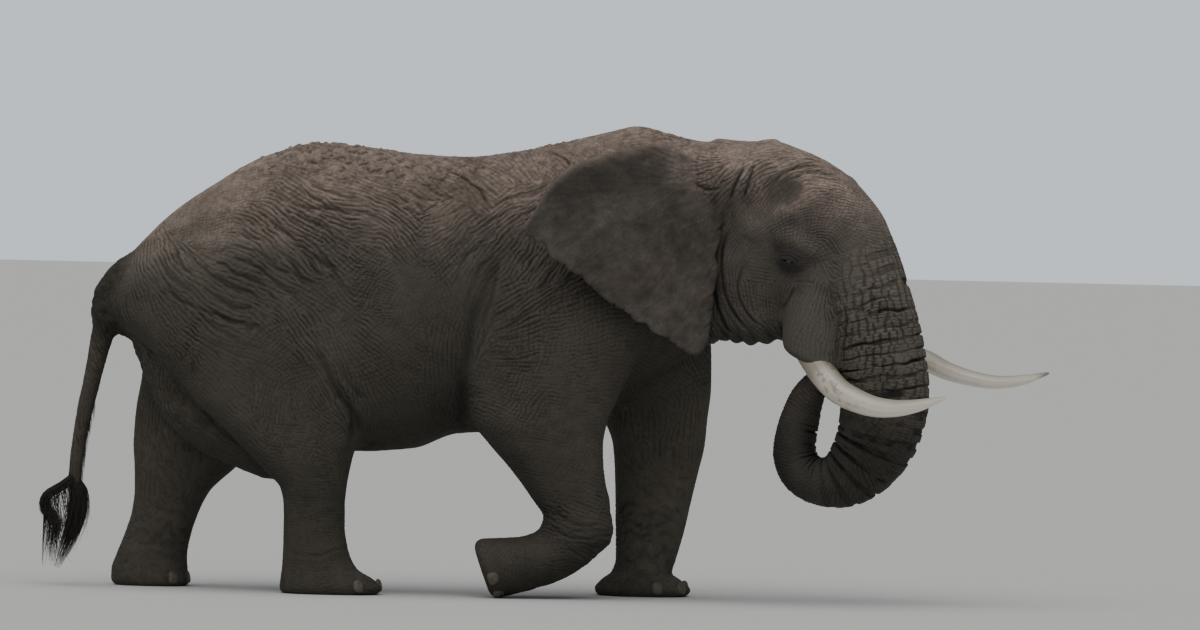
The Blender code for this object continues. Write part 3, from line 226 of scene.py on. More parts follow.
# ---------------------------------------------------------------- surface of an implicit solid
def surface(field, lo, hi, cell, coarse=4, reach=None):
    """Quads of field's zero surface on a grid: one point in each cell that the surface crosses, one face for each grid edge that it crosses."""
    lo, hi = np.asarray(lo, float), np.asarray(hi, float)
    nb = np.ceil((hi - lo) / (cell * coarse)).astype(int)
    n = nb * coarse + 1
    big = cell * coarse
    gx, gy, gz = [lo[k] + big * (np.arange(nb[k]) + 0.5) for k in range(3)]
    C = np.stack(np.meshgrid(gx, gy, gz, indexing="ij"), -1).reshape(-1, 3).astype(np.float32)
    dc = field(C)
    reach = reach or big * 0.87 * 1.35 + 0.012
    active = np.flatnonzero(np.abs(dc) < reach)
    F = np.repeat(np.repeat(np.repeat(np.sign(dc).reshape(nb).astype(np.float32), coarse, 0), coarse, 1), coarse, 2)
    F = np.pad(F, ((0, 1), (0, 1), (0, 1)), mode="edge")
    bi = np.stack(np.unravel_index(active, nb), 1)
    r = np.arange(coarse + 1)
    off = np.stack(np.meshgrid(r, r, r, indexing="ij"), -1).reshape(-1, 3)
    idx = (bi[:, None, :] * coarse + off[None]).reshape(-1, 3)
    flat = np.unique(np.ravel_multi_index(idx.T, n))
    ijk = np.stack(np.unravel_index(flat, n), 1)
    vals = np.empty(len(flat), np.float32)
    for s in range(0, len(flat), 1_500_000):
        part = ijk[s:s + 1_500_000]
        vals[s:s + 1_500_000] = field((lo + part * cell).astype(np.float32))
    F.reshape(-1)[flat] = vals
    F = np.where(F == 0, 1e-9, F)
    for _ in range(12):  # where corners of one sign meet only across a grid face, the weakest changes side
        S, weak = F < 0, []
        for ax in range(3):
            o1, o2 = [k for k in range(3) if k != ax]
            at = []
            for u, v in ((0, 0), (1, 0), (1, 1), (0, 1)):
                sl = [slice(None)] * 3
                sl[o1], sl[o2] = (slice(1, None) if u else slice(0, -1)), (slice(1, None) if v else slice(0, -1))
                at.append(S[tuple(sl)])
            odd = np.argwhere((at[0] == at[2]) & (at[1] == at[3]) & (at[0] != at[1]))
            if len(odd):
                four = np.repeat(odd[:, None, :], 4, 1)
                four[:, (1, 2), o1] += 1
                four[:, (2, 3), o2] += 1
                best = np.argmin(np.abs(F[four[..., 0], four[..., 1], four[..., 2]]), 1)
                weak.append(four[np.arange(len(four)), best])
        if not weak:
            break
        w = np.unique(np.concatenate(weak), axis=0)
        F[w[:, 0], w[:, 1], w[:, 2]] *= -1
    S = F < 0
    # cells that the surface crosses
    cs = n - 1
    cnt = np.zeros(cs, np.uint8)
    for a in (0, 1):
        for b in (0, 1):
            for c in (0, 1):
                cnt += S[a:a + cs[0], b:b + cs[1], c:c + cs[2]]
    cells = np.flatnonzero((cnt > 0) & (cnt < 8))
    ci = np.stack(np.unravel_index(cells, cs), 1)
    del cnt
    acc = np.zeros((len(cells), 3))
    num = np.zeros(len(cells))
    corners = [(0, 0, 0), (1, 0, 0), (0, 1, 0), (1, 1, 0), (0, 0, 1), (1, 0, 1), (0, 1, 1), (1, 1, 1)]
    V = [F[ci[:, 0] + a, ci[:, 1] + b, ci[:, 2] + c] for a, b, c in corners]
    for i in range(8):
        for j in range(i + 1, 8):
            a, b = np.array(corners[i]), np.array(corners[j])
            if np.abs(a - b).sum() != 1:
                continue
            cross = (V[i] < 0) != (V[j] < 0)
            t = V[i] / (V[i] - V[j] + 1e-30)
            pt = a + t[:, None] * (b - a)
            acc[cross] += pt[cross]
            num[cross] += 1
    verts = lo + (ci + acc / num[:, None]) * cell
    index = np.full(int(np.prod(cs)), -1, np.int32)
    index[cells] = np.arange(len(cells))
    index = index.reshape(cs)
    quads = []
    for ax in range(3):
        o1, o2 = [k for k in range(3) if k != ax]
        sl0 = [slice(None)] * 3
        sl1 = [slice(None)] * 3
        sl0[ax], sl1[ax] = slice(0, -1), slice(1, None)
        A, B = S[tuple(sl0)], S[tuple(sl1)]
        e = np.argwhere(A != B)
        keep = (e[:, o1] > 0) & (e[:, o2] > 0) & (e[:, o1] < n[o1] - 1) & (e[:, o2] < n[o2] - 1)
        e = e[keep]
        inside = A[e[:, 0], e[:, 1], e[:, 2]]
        q = []
        for da, db in ((0, 0), (1, 0), (1, 1), (0, 1)):
            c = e.copy()
            c[:, o1] -= da
            c[:, o2] -= db
            q.append(index[c[:, 0], c[:, 1], c[:, 2]])
        q = np.stack(q, 1)
        flip = inside if ax != 1 else ~inside
        q[~flip] = q[~flip][:, ::-1]
        quads.append(q)
    quads = np.concatenate(quads)
    return verts, quads


def gradient(field, P, h=0.004):
    g = np.empty((len(P), 3))
    for k in range(3):
        o = np.zeros(3)
        o[k] = h
        g[:, k] = field((P + o).astype(np.float32)) - field((P - o).astype(np.float32))
    return g / (2 * h)


def settle(field, P, rounds=2, most=0.02):
    """Moves points onto the zero surface."""
    for _ in range(rounds):
        d = field(P.astype(np.float32))
        g = gradient(field, P)
        l2 = np.maximum((g * g).sum(1), 0.05)
        move = np.clip(d / np.sqrt(l2), -most, most)
        P = P - g / np.sqrt(l2)[:, None] * move[:, None]
    return P


# ---------------------------------------------------------------- the animal (metres; +X forward, +Y its left, +Z up, floor at Z = 0)
HEAD_AT = np.array([1.80, -0.12, 2.40])
HEAD_YAW, HEAD_ROLL = -24.0, 7.0
HEAD_AXES = rotation(HEAD_YAW, 0.0, HEAD_ROLL)
PLANE = rotation(HEAD_YAW)  # the upright plane the trunk hangs in


def from_head(a, b, c):
    return HEAD_AT + a * HEAD_AXES[0] + b * HEAD_AXES[1] + c * HEAD_AXES[2]


# station x, back z, belly z, half width, z of widest line, roundness above, roundness below
TORSO = [
    (-2.69, 1.99, 1.78, 0.1, 1.90, 2, 2),
    (-2.60, 2.13, 1.73, 0.25, 1.88, 2, 2),
    (-2.45, 2.32, 1.6, 0.35, 1.88, 1.9, 2),
    (-2.25, 2.52, 1.42, 0.42, 1.88, 1.85, 2),
    (-2.00, 2.7, 1.22, 0.465, 1.85, 1.8, 2),
    (-1.65, 2.905, 1.06, 0.505, 1.80, 1.75, 2),
    (-1.28, 3.005, 0.98, 0.545, 1.75, 1.75, 2),
    (-0.95, 2.985, 0.945, 0.58, 1.72, 1.8, 2),
    (-0.60, 2.945, 0.975, 0.6, 1.72, 1.85, 2),
    (-0.30, 2.935, 1.08, 0.595, 1.74, 1.85, 2),
    (0.05, 2.98, 1.1, 0.56, 1.78, 1.8, 2),
    (0.35, 3.045, 1.14, 0.515, 1.84, 1.7, 2),
    (0.65, 3.12, 1.25, 0.46, 1.92, 1.65, 2),
    (0.86, 3.165, 1.38, 0.41, 2.00, 1.6, 2),
    (1.12, 3.105, 1.56, 0.36, 2.10, 1.7, 2),
    (1.40, 3.045, 1.74, 0.32, 2.20, 1.9, 2),
    (1.70, 2.9, 1.93, 0.28, 2.30, 2, 2),
]
# height, rear x, front x, y, half width
FORE_LEFT = [
    (0.00, 0.65, 1.255, 0.37, 0.235),
    (0.045, 0.635, 1.28, 0.37, 0.25),
    (0.10, 0.675, 1.225, 0.37, 0.235),
    (0.16, 0.745, 1.155, 0.37, 0.205),
    (0.25, 0.772, 1.178, 0.37, 0.19),
    (0.42, 0.768, 1.225, 0.38, 0.188),
    (0.64, 0.762, 1.272, 0.39, 0.20),
    (0.85, 0.752, 1.318, 0.40, 0.215),
    (1.02, 0.735, 1.355, 0.41, 0.235),
    (1.20, 0.66, 1.37, 0.41, 0.255),
    (1.42, 0.52, 1.39, 0.395, 0.26),
    (1.68, 0.40, 1.385, 0.36, 0.27),
    (1.95, 0.34, 1.30, 0.33, 0.26),
    (2.30, 0.36, 1.16, 0.28, 0.225),
    (2.70, 0.48, 1.02, 0.21, 0.16),
]
FORE_RIGHT = [
    (0.40, 0.34, 0.705, -0.40, 0.175),
    (0.47, 0.305, 0.725, -0.40, 0.185),
    (0.55, 0.285, 0.722, -0.40, 0.19),
    (0.65, 0.215, 0.722, -0.40, 0.195),
    (0.76, 0.135, 0.695, -0.405, 0.205),
    (0.89, 0.03, 0.675, -0.41, 0.22),
    (1.03, -0.095, 0.668, -0.415, 0.235),
    (1.17, -0.205, 0.69, -0.415, 0.255),
    (1.32, -0.235, 0.75, -0.40, 0.26),
    (1.60, -0.215, 0.86, -0.375, 0.27),
    (1.90, -0.12, 0.96, -0.34, 0.265),
    (2.25, 0.05, 1.02, -0.29, 0.235),
    (2.65, 0.28, 1.00, -0.21, 0.16),
]
HIND_RIGHT = [
    (0.00, -1.455, -0.81, -0.36, 0.215),
    (0.045, -1.465, -0.785, -0.36, 0.225),
    (0.10, -1.46, -0.845, -0.36, 0.21),
    (0.17, -1.452, -0.955, -0.36, 0.19),
    (0.31, -1.447, -1.018, -0.36, 0.178),
    (0.45, -1.447, -1.04, -0.365, 0.178),
    (0.60, -1.452, -1.042, -0.37, 0.19),
    (0.70, -1.475, -1.035, -0.375, 0.205),
    (0.80, -1.565, -1.02, -0.375, 0.22),
    (0.90, -1.665, -1.00, -0.375, 0.232),
    (1.10, -1.87, -0.95, -0.365, 0.24),
    (1.30, -2.08, -0.90, -0.355, 0.245),
    (1.58, -2.285, -0.84, -0.345, 0.245),
    (1.80, -2.42, -0.85, -0.32, 0.24),
    (2.00, -2.46, -0.95, -0.285, 0.23),
    (2.28, -2.27, -1.15, -0.235, 0.19),
    (2.44, -1.98, -1.35, -0.18, 0.10),
]
HIND_LEFT = [
    (0.00, -2.615, -2.12, 0.36, 0.215),
    (0.045, -2.635, -2.105, 0.36, 0.225),
    (0.10, -2.635, -2.12, 0.36, 0.215),
    (0.20, -2.605, -2.127, 0.36, 0.192),
    (0.36, -2.545, -2.10, 0.36, 0.178),
    (0.50, -2.505, -2.055, 0.365, 0.178),
    (0.64, -2.49, -1.985, 0.37, 0.19),
    (0.80, -2.495, -1.82, 0.375, 0.215),
    (0.95, -2.505, -1.66, 0.375, 0.24),
    (1.20, -2.49, -1.45, 0.355, 0.24),
    (1.45, -2.455, -1.25, 0.345, 0.245),
    (1.75, -2.47, -1.05, 0.32, 0.24),
    (2.00, -2.45, -1.00, 0.285, 0.23),
    (2.28, -2.25, -1.15, 0.235, 0.19),
    (2.44, -1.98, -1.35, 0.18, 0.10),
]
# in the head's own frame: height, rear, front, side, half width
SKULL = [
    (-0.44, -0.30, 0.56, 0.0, 0.25),
    (-0.30, -0.42, 0.74, 0.0, 0.325),
    (-0.18, -0.48, 0.835, 0.0, 0.365),
    (-0.04, -0.50, 0.805, 0.0, 0.385),
    (0.08, -0.50, 0.775, 0.0, 0.385),
    (0.20, -0.50, 0.73, 0.0, 0.378),
    (0.32, -0.50, 0.64, 0.0, 0.362),
    (0.43, -0.50, 0.53, 0.0, 0.335),
    (0.52, -0.50, 0.40, 0.0, 0.295),
    (0.595, -0.50, 0.25, 0.0, 0.245),
    (0.65, -0.47, 0.10, 0.0, 0.175),
    (0.675, -0.40, 0.00, 0.0, 0.10),
]
# the trunk's own line: world x in the head's upright plane, height, radius, width over depth
TRUNK = [
    (2.32, 2.42, 0.20, 1.30),
    (2.36, 2.26, 0.245, 1.20),
    (2.415, 2.05, 0.275, 1.05),
    (2.475, 1.83, 0.285, 0.98),
    (2.515, 1.62, 0.29, 0.94),
    (2.537, 1.42, 0.294, 0.90),
    (2.522, 1.25, 0.287, 0.86),
    (2.48, 1.09, 0.265, 0.84),
    (2.395, 0.945, 0.228, 0.86),
    (2.28, 0.84, 0.188, 0.92),
    (2.135, 0.813, 0.157, 0.98),
    (2.01, 0.868, 0.149, 1.0),
    (1.952, 0.985, 0.144, 1.0),
    (1.957, 1.12, 0.137, 1.0),
    (1.985, 1.25, 0.128, 1.0),
    (2.02, 1.36, 0.113, 1.0),
    (2.062, 1.44, 0.096, 1.0),
    (2.11, 1.505, 0.08, 1.0),
]
EAR = [(1.38, 2.87), (1.27, 2.965), (1.13, 3.015), (0.98, 3.04), (0.82, 3.015), (0.60, 2.955), (0.43, 2.89), (0.29, 2.76), (0.19, 2.605), (0.095, 2.455),
       (0.135, 2.395), (0.25, 2.33), (0.31, 2.255), (0.50, 2.13), (0.71, 1.965), (0.92, 1.83), (1.10, 1.72), (1.23, 1.652), (1.32, 1.66),
       (1.36, 1.80), (1.40, 2.10), (1.42, 2.40), (1.46, 2.75)]
TAIL = [(-2.52, 2.10, 0.13), (-2.625, 2.00, 0.118), (-2.69, 1.88, 0.094), (-2.698, 1.73, 0.078), (-2.735, 1.56, 0.065), (-2.77, 1.38, 0.057),
        (-2.81, 1.20, 0.052), (-2.84, 1.02, 0.047), (-2.862, 0.86, 0.043), (-2.873, 0.70, 0.041)]
TAIL_END = 0.745
TUFT_BACK = [(-2.872, 0.80, 0.042), (-2.872, 0.70, 0.046), (-2.845, 0.62, 0.058), (-2.85, 0.50, 0.062), (-2.885, 0.37, 0.055), (-2.93, 0.25, 0.04), (-2.985, 0.12, 0.02)]
TUFT_SIDE = [(-2.87, 0.73, 0.036), (-2.96, 0.665, 0.032), (-3.055, 0.60, 0.026), (-3.06, 0.51, 0.026), (-2.985, 0.42, 0.026), (-3.01, 0.30, 0.022), (-3.02, 0.16, 0.015)]
# tusks leave the lip at c = about -0.8 of the head; world x, y, z, radius
TUSK_RIGHT = [(1.99, -0.50, 1.72, 0.085), (2.06, -0.545, 1.62, 0.092), (2.125, -0.60, 1.53, 0.092), (2.215, -0.67, 1.435, 0.088), (2.32, -0.75, 1.378, 0.081),
              (2.44, -0.84, 1.338, 0.071), (2.56, -0.93, 1.328, 0.060), (2.68, -1.01, 1.341, 0.048), (2.80, -1.06, 1.372, 0.032), (2.915, -1.09, 1.41, 0.008)]
TUSK_LEFT = [(2.26, 0.13, 1.80, 0.085), (2.34, 0.155, 1.735, 0.092), (2.46, 0.185, 1.69, 0.09), (2.63, 0.215, 1.67, 0.084), (2.82, 0.235, 1.637, 0.074),
             (2.97, 0.245, 1.57, 0.064), (3.14, 0.245, 1.52, 0.054), (3.32, 0.23, 1.497, 0.046), (3.50, 0.20, 1.52, 0.034), (3.665, 0.165, 1.57, 0.009)]
# skin that hangs between the thighs: x, z, radius
GROIN = [(-2.36, 1.60, 0.12), (-2.17, 1.28, 0.165), (-1.97, 1.10, 0.18), (-1.76, 0.97, 0.15), (-1.56, 0.86, 0.115), (-1.44, 0.86, 0.11)]
# in the head's frame, right side: the tusk's sheath, and its lip's rear point and downward direction in the plane of profile
SHEATH = [(0.345, -0.205, -0.16, 0.14), (0.35, -0.25, -0.34, 0.155), (0.355, -0.285, -0.50, 0.16), (0.365, -0.315, -0.66, 0.16), (0.385, -0.335, -0.80, 0.15)]
LIP_REAR, LIP_DOWN = (0.17, -0.67), (-0.338, -0.941)
FLEXED_FOOT = [(0.55, 0.45, 0.175), (0.46, 0.375, 0.185), (0.33, 0.29, 0.18), (0.18, 0.235, 0.18), (0.02, 0.205, 0.195), (-0.08, 0.19, 0.205)]
SOLE_LOW, SOLE_HIGH = (-0.055, 0.0), (-0.19, 0.375)


def trunk_path(n=60):
    t = smooth_path(TRUNK, n)
    a = (t[:, 0] - HEAD_AT[0]) / PLANE[0][0]
    xyz = HEAD_AT * (1, 1, 0) + a[:, None] * PLANE[0] + t[:, 1:2] * (0, 0, 1)
    return np.column_stack([xyz, t[:, 2]]), t[:, 3]


def flat_limb(P, path, flat, side, pad=0.35):
    """Tube whose width across changes along it; also the share of length."""
    lo = (path[:, :3] - path[:, 3:4] * 1.35).min(0)
    hi = (path[:, :3] + path[:, 3:4] * 1.35).max(0)
    d = np.full(len(P), BIG, np.float32)
    s = np.zeros(len(P), np.float32)
    i = near(P, lo, hi, pad)
    if not len(i):
        return d, s
    q = P[i]
    best = np.full(len(i), BIG)
    where = np.zeros(len(i))
    length = np.r_[0, np.cumsum(np.linalg.norm(np.diff(path[:, :3], axis=0), axis=1))]
    for j in range(len(path) - 1):
        a, b = path[j], path[j + 1]
        ab = b[:3] - a[:3]
        t = np.clip(((q - a[:3]) @ ab) / (ab @ ab), 0, 1)
        off = q - a[:3] - t[:, None] * ab
        f = flat[j] + t * (flat[j + 1] - flat[j])
        comp = off @ side
        off = off + (comp / f - comp)[:, None] * side
        e = (np.sqrt((off * off).sum(1)) - (a[3] + t * (b[3] - a[3]))) * np.minimum(f, 1)
        better = e < best
        best = np.where(better, e, best)
        where = np.where(better, length[j] + t * (length[j + 1] - length[j]), where)
    d[i] = best
    s[i] = where / length[-1]
    return d, s


def outline_distance(q, loop):
    """Signed distance in a plane to a closed outline, negative inside."""
    d = np.full(len(q), BIG)
    inside = np.zeros(len(q), bool)
    for a, b in zip(loop, np.roll(loop, -1, axis=0)):
        ab = b - a
        w = q - a
        t = np.clip((w @ ab) / (ab @ ab + 1e-12), 0, 1)
        e = w - t[:, None] * ab
        d = np.minimum(d, (e * e).sum(1))
        c = (a[1] > q[:, 1]) != (b[1] > q[:, 1])
        with np.errstate(divide="ignore", invalid="ignore"):
            xx = a[0] + (q[:, 1] - a[1]) * ab[0] / ab[1]
        inside ^= c & (q[:, 0] < xx)
    return np.where(inside, -1, 1) * np.sqrt(d)


EAR_LOOP = smooth_path(EAR + EAR[:1], 85)[:-1]


def ear_sheet(x, z):
    """How far out the middle of the ear's sheet stands."""
    s = np.clip((1.38 - x) / 1.28, -0.1, 1)
    out = 0.41 + 0.60 * s - 0.24 * s * s
    out = out + 0.035 * np.sin(np.pi * np.clip((z - 1.65) / 1.4, 0, 1)) * np.sin(np.pi * np.clip(s, 0, 1))
    out = out - 0.10 * step01(2.72, 3.10, z) * (1 - 0.3 * s)
    return out


def ear(P, side, dx=0.0, tall=1.0, thick=0.031, ragged=0.0):
    """side -1 is the right ear."""
    d = np.full(len(P), BIG, np.float32)
    lo = np.array([0.09 + dx, (0.35 if side > 0 else -0.9), 1.65])
    hi = np.array([1.5 + dx, (0.9 if side > 0 else -0.35), 3.06])
    i = near(P, lo, hi, 0.12)
    if len(i):
        q = P[i]
        x, y, z = q[:, 0] - dx, q[:, 1] * side, 3.0 + (q[:, 2] - 3.0) / tall
        flat = outline_distance(np.column_stack([x, z]), EAR_LOOP)
        if ragged:
            t = x - z
            flat = flat + ragged * step01(2.75, 2.45, z) * (0.5 + 0.5 * np.sin(19 * t + 2 * np.sin(7 * t)) + 0.7 * np.maximum(0, np.sin(43 * t + 1.7 + 3 * np.sin(11 * t))) ** 3)
        s = np.clip((1.38 - x) / 1.28, 0, 1)
        half = thick * (1 + 0.55 * (1 - step01(0.0, 0.45, s)) + 0.35 * step01(-0.10, -0.02, flat) * step01(2.5, 2.8, z))
        off = (np.abs(y - ear_sheet(x, z))) * 0.95
        e = flat + half
        d[i] = np.where(e > 0, np.hypot(e, off) - half, np.maximum(off - half, -half))
    return d


def fore_right(P):
    d = column(P, FORE_RIGHT, 2.1)
    path = np.array([(x, -0.40, z, r) for x, z, r in smooth_path(FLEXED_FOOT, 12)])
    f = limb(P, path, side=np.array([0.0, 1.0, 0.0]), flat=1.04)
    n = np.array([-(SOLE_HIGH[1] - SOLE_LOW[1]), 0.0, SOLE_HIGH[0] - SOLE_LOW[0]])
    n /= np.linalg.norm(n)
    sole = (P - np.array([SOLE_LOW[0], 0, SOLE_LOW[1]])) @ n
    f = np.where(f < 1.0, smax(f, sole, 0.07), f)
    d = np.where(np.minimum(d, f) < 1.0, smin(d, f, 0.10), d)
    return d


def head(P):
    d = np.full(len(P), BIG, np.float32)
    i = near(P, HEAD_AT - (0.8, 0.75, 1.0), HEAD_AT + (1.15, 0.75, 0.75), 0.1)
    if not len(i):
        return d
    q = ((P[i] - HEAD_AT) @ HEAD_AXES.T).astype(np.float32)
    mirror = q.copy()
    mirror[:, 1] = -np.abs(q[:, 1])
    m = mirror
    e = column(q, SKULL, 2.25)
    c = q[:, 2]
    # cheeks and the jaw's corner
    e = smin(e, ball(m, (-0.14, -0.225, -0.33), (0.33, 0.15, 0.31), rotation(0, -8, 0)), 0.12)
    # lower jaw and lip
    e = smin(e, ball(m, (-0.06, -0.10, -0.49), (0.38, 0.20, 0.15), rotation(0, -3, 0)), 0.10)
    e = smin(e, ball(q, (0.34, 0.0, -0.59), (0.22, 0.12, 0.095), rotation(0, -14, 0)), 0.10)
    # sheaths of the tusks, wide flat pillars from below the eye to a slanting lip
    sheath = limb(m, smooth_path(SHEATH, 11), side=np.array([1.0, 0.0, 0.0]), flat=1.2)
    lip = (q[:, 0] - LIP_REAR[0]) * LIP_DOWN[0] + (c - LIP_REAR[1]) * LIP_DOWN[1]
    sheath = smax(sheath, lip, 0.06)
    e = smin(e, sheath, 0.035 + 0.10 * step01(-0.42, -0.20, c))
    # brow, cheekbone, temple
    e = smin(e, ball(m, (0.30, -0.345, 0.03), (0.17, 0.075, 0.075), rotation(0, -25, 0)), 0.06)
    e = smin(e, ball(m, (0.27, -0.375, -0.085), (0.085, 0.045, 0.065)), 0.05)
    e = smin(e, limb(m, np.array([(0.02, -0.315, 0.11, 0.045), (0.20, -0.315, 0.20, 0.05), (0.36, -0.275, 0.285, 0.055), (0.44, -0.22, 0.37, 0.05)])), 0.08)
    e = smax(e, -ball(m, (0.20, -0.455, 0.395), (0.15, 0.145, 0.125), rotation(0, 10, 0)), 0.08)
    e = smax(e, -ball(m, (0.0, -0.53, 0.30), (0.20, 0.16, 0.12), rotation(0, -10, 0)), 0.10)
    # root of the ear
    e = smin(e, ball(m, (-0.30, -0.32, 0.44), (0.24, 0.14, 0.17)), 0.10)
    # knob on the crown
    e = smin(e, ball(q, (-0.03, 0.02, 0.585), (0.13, 0.13, 0.105)), 0.06)
    d[i] = e
    return d


def body(P, detail=None, ears=True):
    """The whole animal without tusks, eyes and tail hair."""
    P = np.asarray(P, np.float32)
    d = barrel(P, TORSO)
    hind = np.minimum(column(P, HIND_LEFT, 2.2), column(P, HIND_RIGHT, 2.2))
    d = smin(d, hind, 0.16)
    fore = np.minimum(column(P, FORE_LEFT, 2.1), fore_right(P))
    d = smin(d, fore, 0.13)
    groin = np.array([(x, -0.06, z, r) for x, z, r in smooth_path(GROIN, 10)])
    d = smin(d, limb(P, groin, side=np.array([0.0, 1.0, 0.0]), flat=1.25), 0.05)
    # anal fold under the tail root
    d = smin(d, ball(P, (-2.59, 0.0, 1.845), (0.135, 0.12, 0.14)), 0.08)
    tail = np.array([(x, 0.0, z, r) for x, z, r in TAIL])
    d = smin(d, limb(P, smooth_path(tail, 26)), 0.06)
    h = head(P)
    path, flat = trunk_path()
    t, _ = flat_limb(P, path, flat, PLANE[1])
    h = smin(h, t, 0.09)
    d = smin(d, h, 0.14)
    if ears:
        thick, ragged = (0.018, 0.014) if detail else (0.031, 0.0)
        e = np.minimum(ear(P, -1.0, 0.0, 1.0, thick, ragged), ear(P, 1.0, 0.32, 0.92, thick, ragged))
        root = step01(2.50, 2.85, P[:, 2]) * step01(0.95, 1.30, P[:, 0])
        d = smin(d, e, 0.05 + 0.13 * root)
    # flat soles
    d = smax(d, -P[:, 2], 0.02)
    return d


EYE_RADIUS = 0.041
EYE_AT = (0.2615, 0.402, -0.0665)  # in the head's frame, mirrored for the right


# ---------------------------------------------------------------- helpers for looks
OFFSET = np.array([0.2916, -0.1490, 0.0])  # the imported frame's origin in the coordinates used above
POOL = ThreadPoolExecutor(4)


def spread(fn, *arrays, size=60000):
    """Runs fn on chunks of rows, several at a time, and joins the answers."""
    n = len(arrays[0])
    cuts = list(range(0, n, size)) + [n]
    jobs = [POOL.submit(fn, *[a[i:j] for a in arrays]) for i, j in zip(cuts[:-1], cuts[1:])]
    return np.concatenate([j.result() for j in jobs])


_rng = np.random.default_rng(11)
LATTICE = _rng.random((64, 64, 64)).astype(np.float32) * 2 - 1


def noise(p, seed=0):
    """Smooth value noise of 3-D points, about -1 to 1, one lattice step per unit."""
    p = p + np.float32(seed * 17.31)
    f = np.floor(p)
    i = f.astype(np.int32)
    t = (p - f).astype(np.float32)
    t = t * t * (3 - 2 * t)
    x0, y0, z0 = (i & 63).T
    x1, y1, z1 = ((i + 1) & 63).T
    tx, ty, tz = t.T
    L = LATTICE
    a = L[x0, y0, z0] * (1 - tx) + L[x1, y0, z0] * tx
    b = L[x0, y1, z0] * (1 - tx) + L[x1, y1, z0] * tx
    c = L[x0, y0, z1] * (1 - tx) + L[x1, y0, z1] * tx
    d = L[x0, y1, z1] * (1 - tx) + L[x1, y1, z1] * tx
    a = a * (1 - ty) + b * ty
    c = c * (1 - ty) + d * ty
    return a * (1 - tz) + c * tz


def fractal(p, octaves=3, seed=0):
    out, amp, total = 0.0, 1.0, 0.0
    for k in range(octaves):
        out = out + amp * noise(p * (2.03 ** k), seed + k * 3)
        total += amp
        amp *= 0.5
    return out / total


def normals(V, T):
    n = np.cross(V[T[:, 1]] - V[T[:, 0]], V[T[:, 2]] - V[T[:, 0]])
    out = np.zeros_like(V)
    for k in range(3):
        for c in range(3):
            out[:, c] += np.bincount(T[:, k], n[:, c], len(V))
    return out / (np.linalg.norm(out, axis=1)[:, None] + 1e-12)


def triangles(V, Q):
    """Quads split along the shorter diagonal."""
    a = np.linalg.norm(V[Q[:, 0]] - V[Q[:, 2]], axis=1)
    b = np.linalg.norm(V[Q[:, 1]] - V[Q[:, 3]], axis=1)
    s = a <= b
    return np.concatenate([Q[s][:, [0, 1, 2]], Q[s][:, [0, 2, 3]], Q[~s][:, [0, 1, 3]], Q[~s][:, [1, 2, 3]]])


def refine(V, T, chosen):
    """Splits the chosen triangles in four and their neighbours so that nothing comes apart."""
    E = np.sort(np.concatenate([T[:, [0, 1]], T[:, [1, 2]], T[:, [2, 0]]]), axis=1).astype(np.int64)
    key = E[:, 0] * len(V) + E[:, 1]
    uniq, inv = np.unique(key, return_inverse=True)
    inv = inv.reshape(3, -1).T
    marked = np.zeros(len(uniq), bool)
    marked[inv[chosen].reshape(-1)] = True
    while True:  # a triangle with two split sides is split whole
        count = marked[inv].sum(1)
        two = count == 2
        if not two.any():
            break
        marked[inv[two].reshape(-1)] = True
    number = np.full(len(uniq), -1, np.int64)
    number[marked] = len(V) + np.arange(marked.sum())
    ends = uniq[marked]
    mid = (V[ends // len(V)] + V[ends % len(V)]) / 2
    count = marked[inv].sum(1)
    M = number[inv]
    whole, four, half = T[count == 0], count == 3, count == 1
    A, m = T[four], M[four]
    new = [whole, np.stack([A[:, 0], m[:, 0], m[:, 2]], 1), np.stack([m[:, 0], A[:, 1], m[:, 1]], 1),
           np.stack([m[:, 2], m[:, 1], A[:, 2]], 1), np.stack([m[:, 0], m[:, 1], m[:, 2]], 1)]
    A, m = T[half], M[half]
    k = np.argmax(m >= 0, 1)
    r = np.arange(len(A))
    a, b, c, e = A[r, k], A[r, (k + 1) % 3], A[r, (k + 2) % 3], m[r, k]
    new += [np.stack([a, e, c], 1), np.stack([e, b, c], 1)]
    return np.concatenate([V, mid]), np.concatenate(new)


def project(field, V, T, most=0.01, rounds=1):
    for _ in range(rounds):
        n = normals(V, T)
        d = spread(field, V.astype(np.float32))
        V = V - n * np.clip(d, -most, most)[:, None]
    return V


def mesh_from(name, V, T, attributes=None, smooth=True):
    me = bpy.data.meshes.new(name)
    me.vertices.add(len(V))
    me.vertices.foreach_set("co", (V - OFFSET).astype(np.float32).reshape(-1))
    me.loops.add(len(T) * 3)
    me.loops.foreach_set("vertex_index", T.astype(np.int32).reshape(-1))
    me.polygons.add(len(T))
    me.polygons.foreach_set("loop_start", (np.arange(len(T)) * 3).astype(np.int32))
    me.polygons.foreach_set("loop_total", np.full(len(T), 3, np.int32))
    me.update(calc_edges=True)
    me.polygons.foreach_set("use_smooth", np.full(len(T), smooth))
    for key, value in (attributes or {}).items():
        if value.ndim == 1:
            at = me.attributes.new(key, "FLOAT", "POINT")
            at.data.foreach_set("value", value.astype(np.float32))
        else:
            at = me.attributes.new(key, "FLOAT_COLOR", "POINT")
            rgba = np.ones((len(value), 4), np.float32)
            rgba[:, :value.shape[1]] = value
            at.data.foreach_set("color", rgba.reshape(-1))
    me.validate()
    ob = bpy.data.objects.new(name, me)
    bpy.context.scene.collection.objects.link(ob)
    return ob




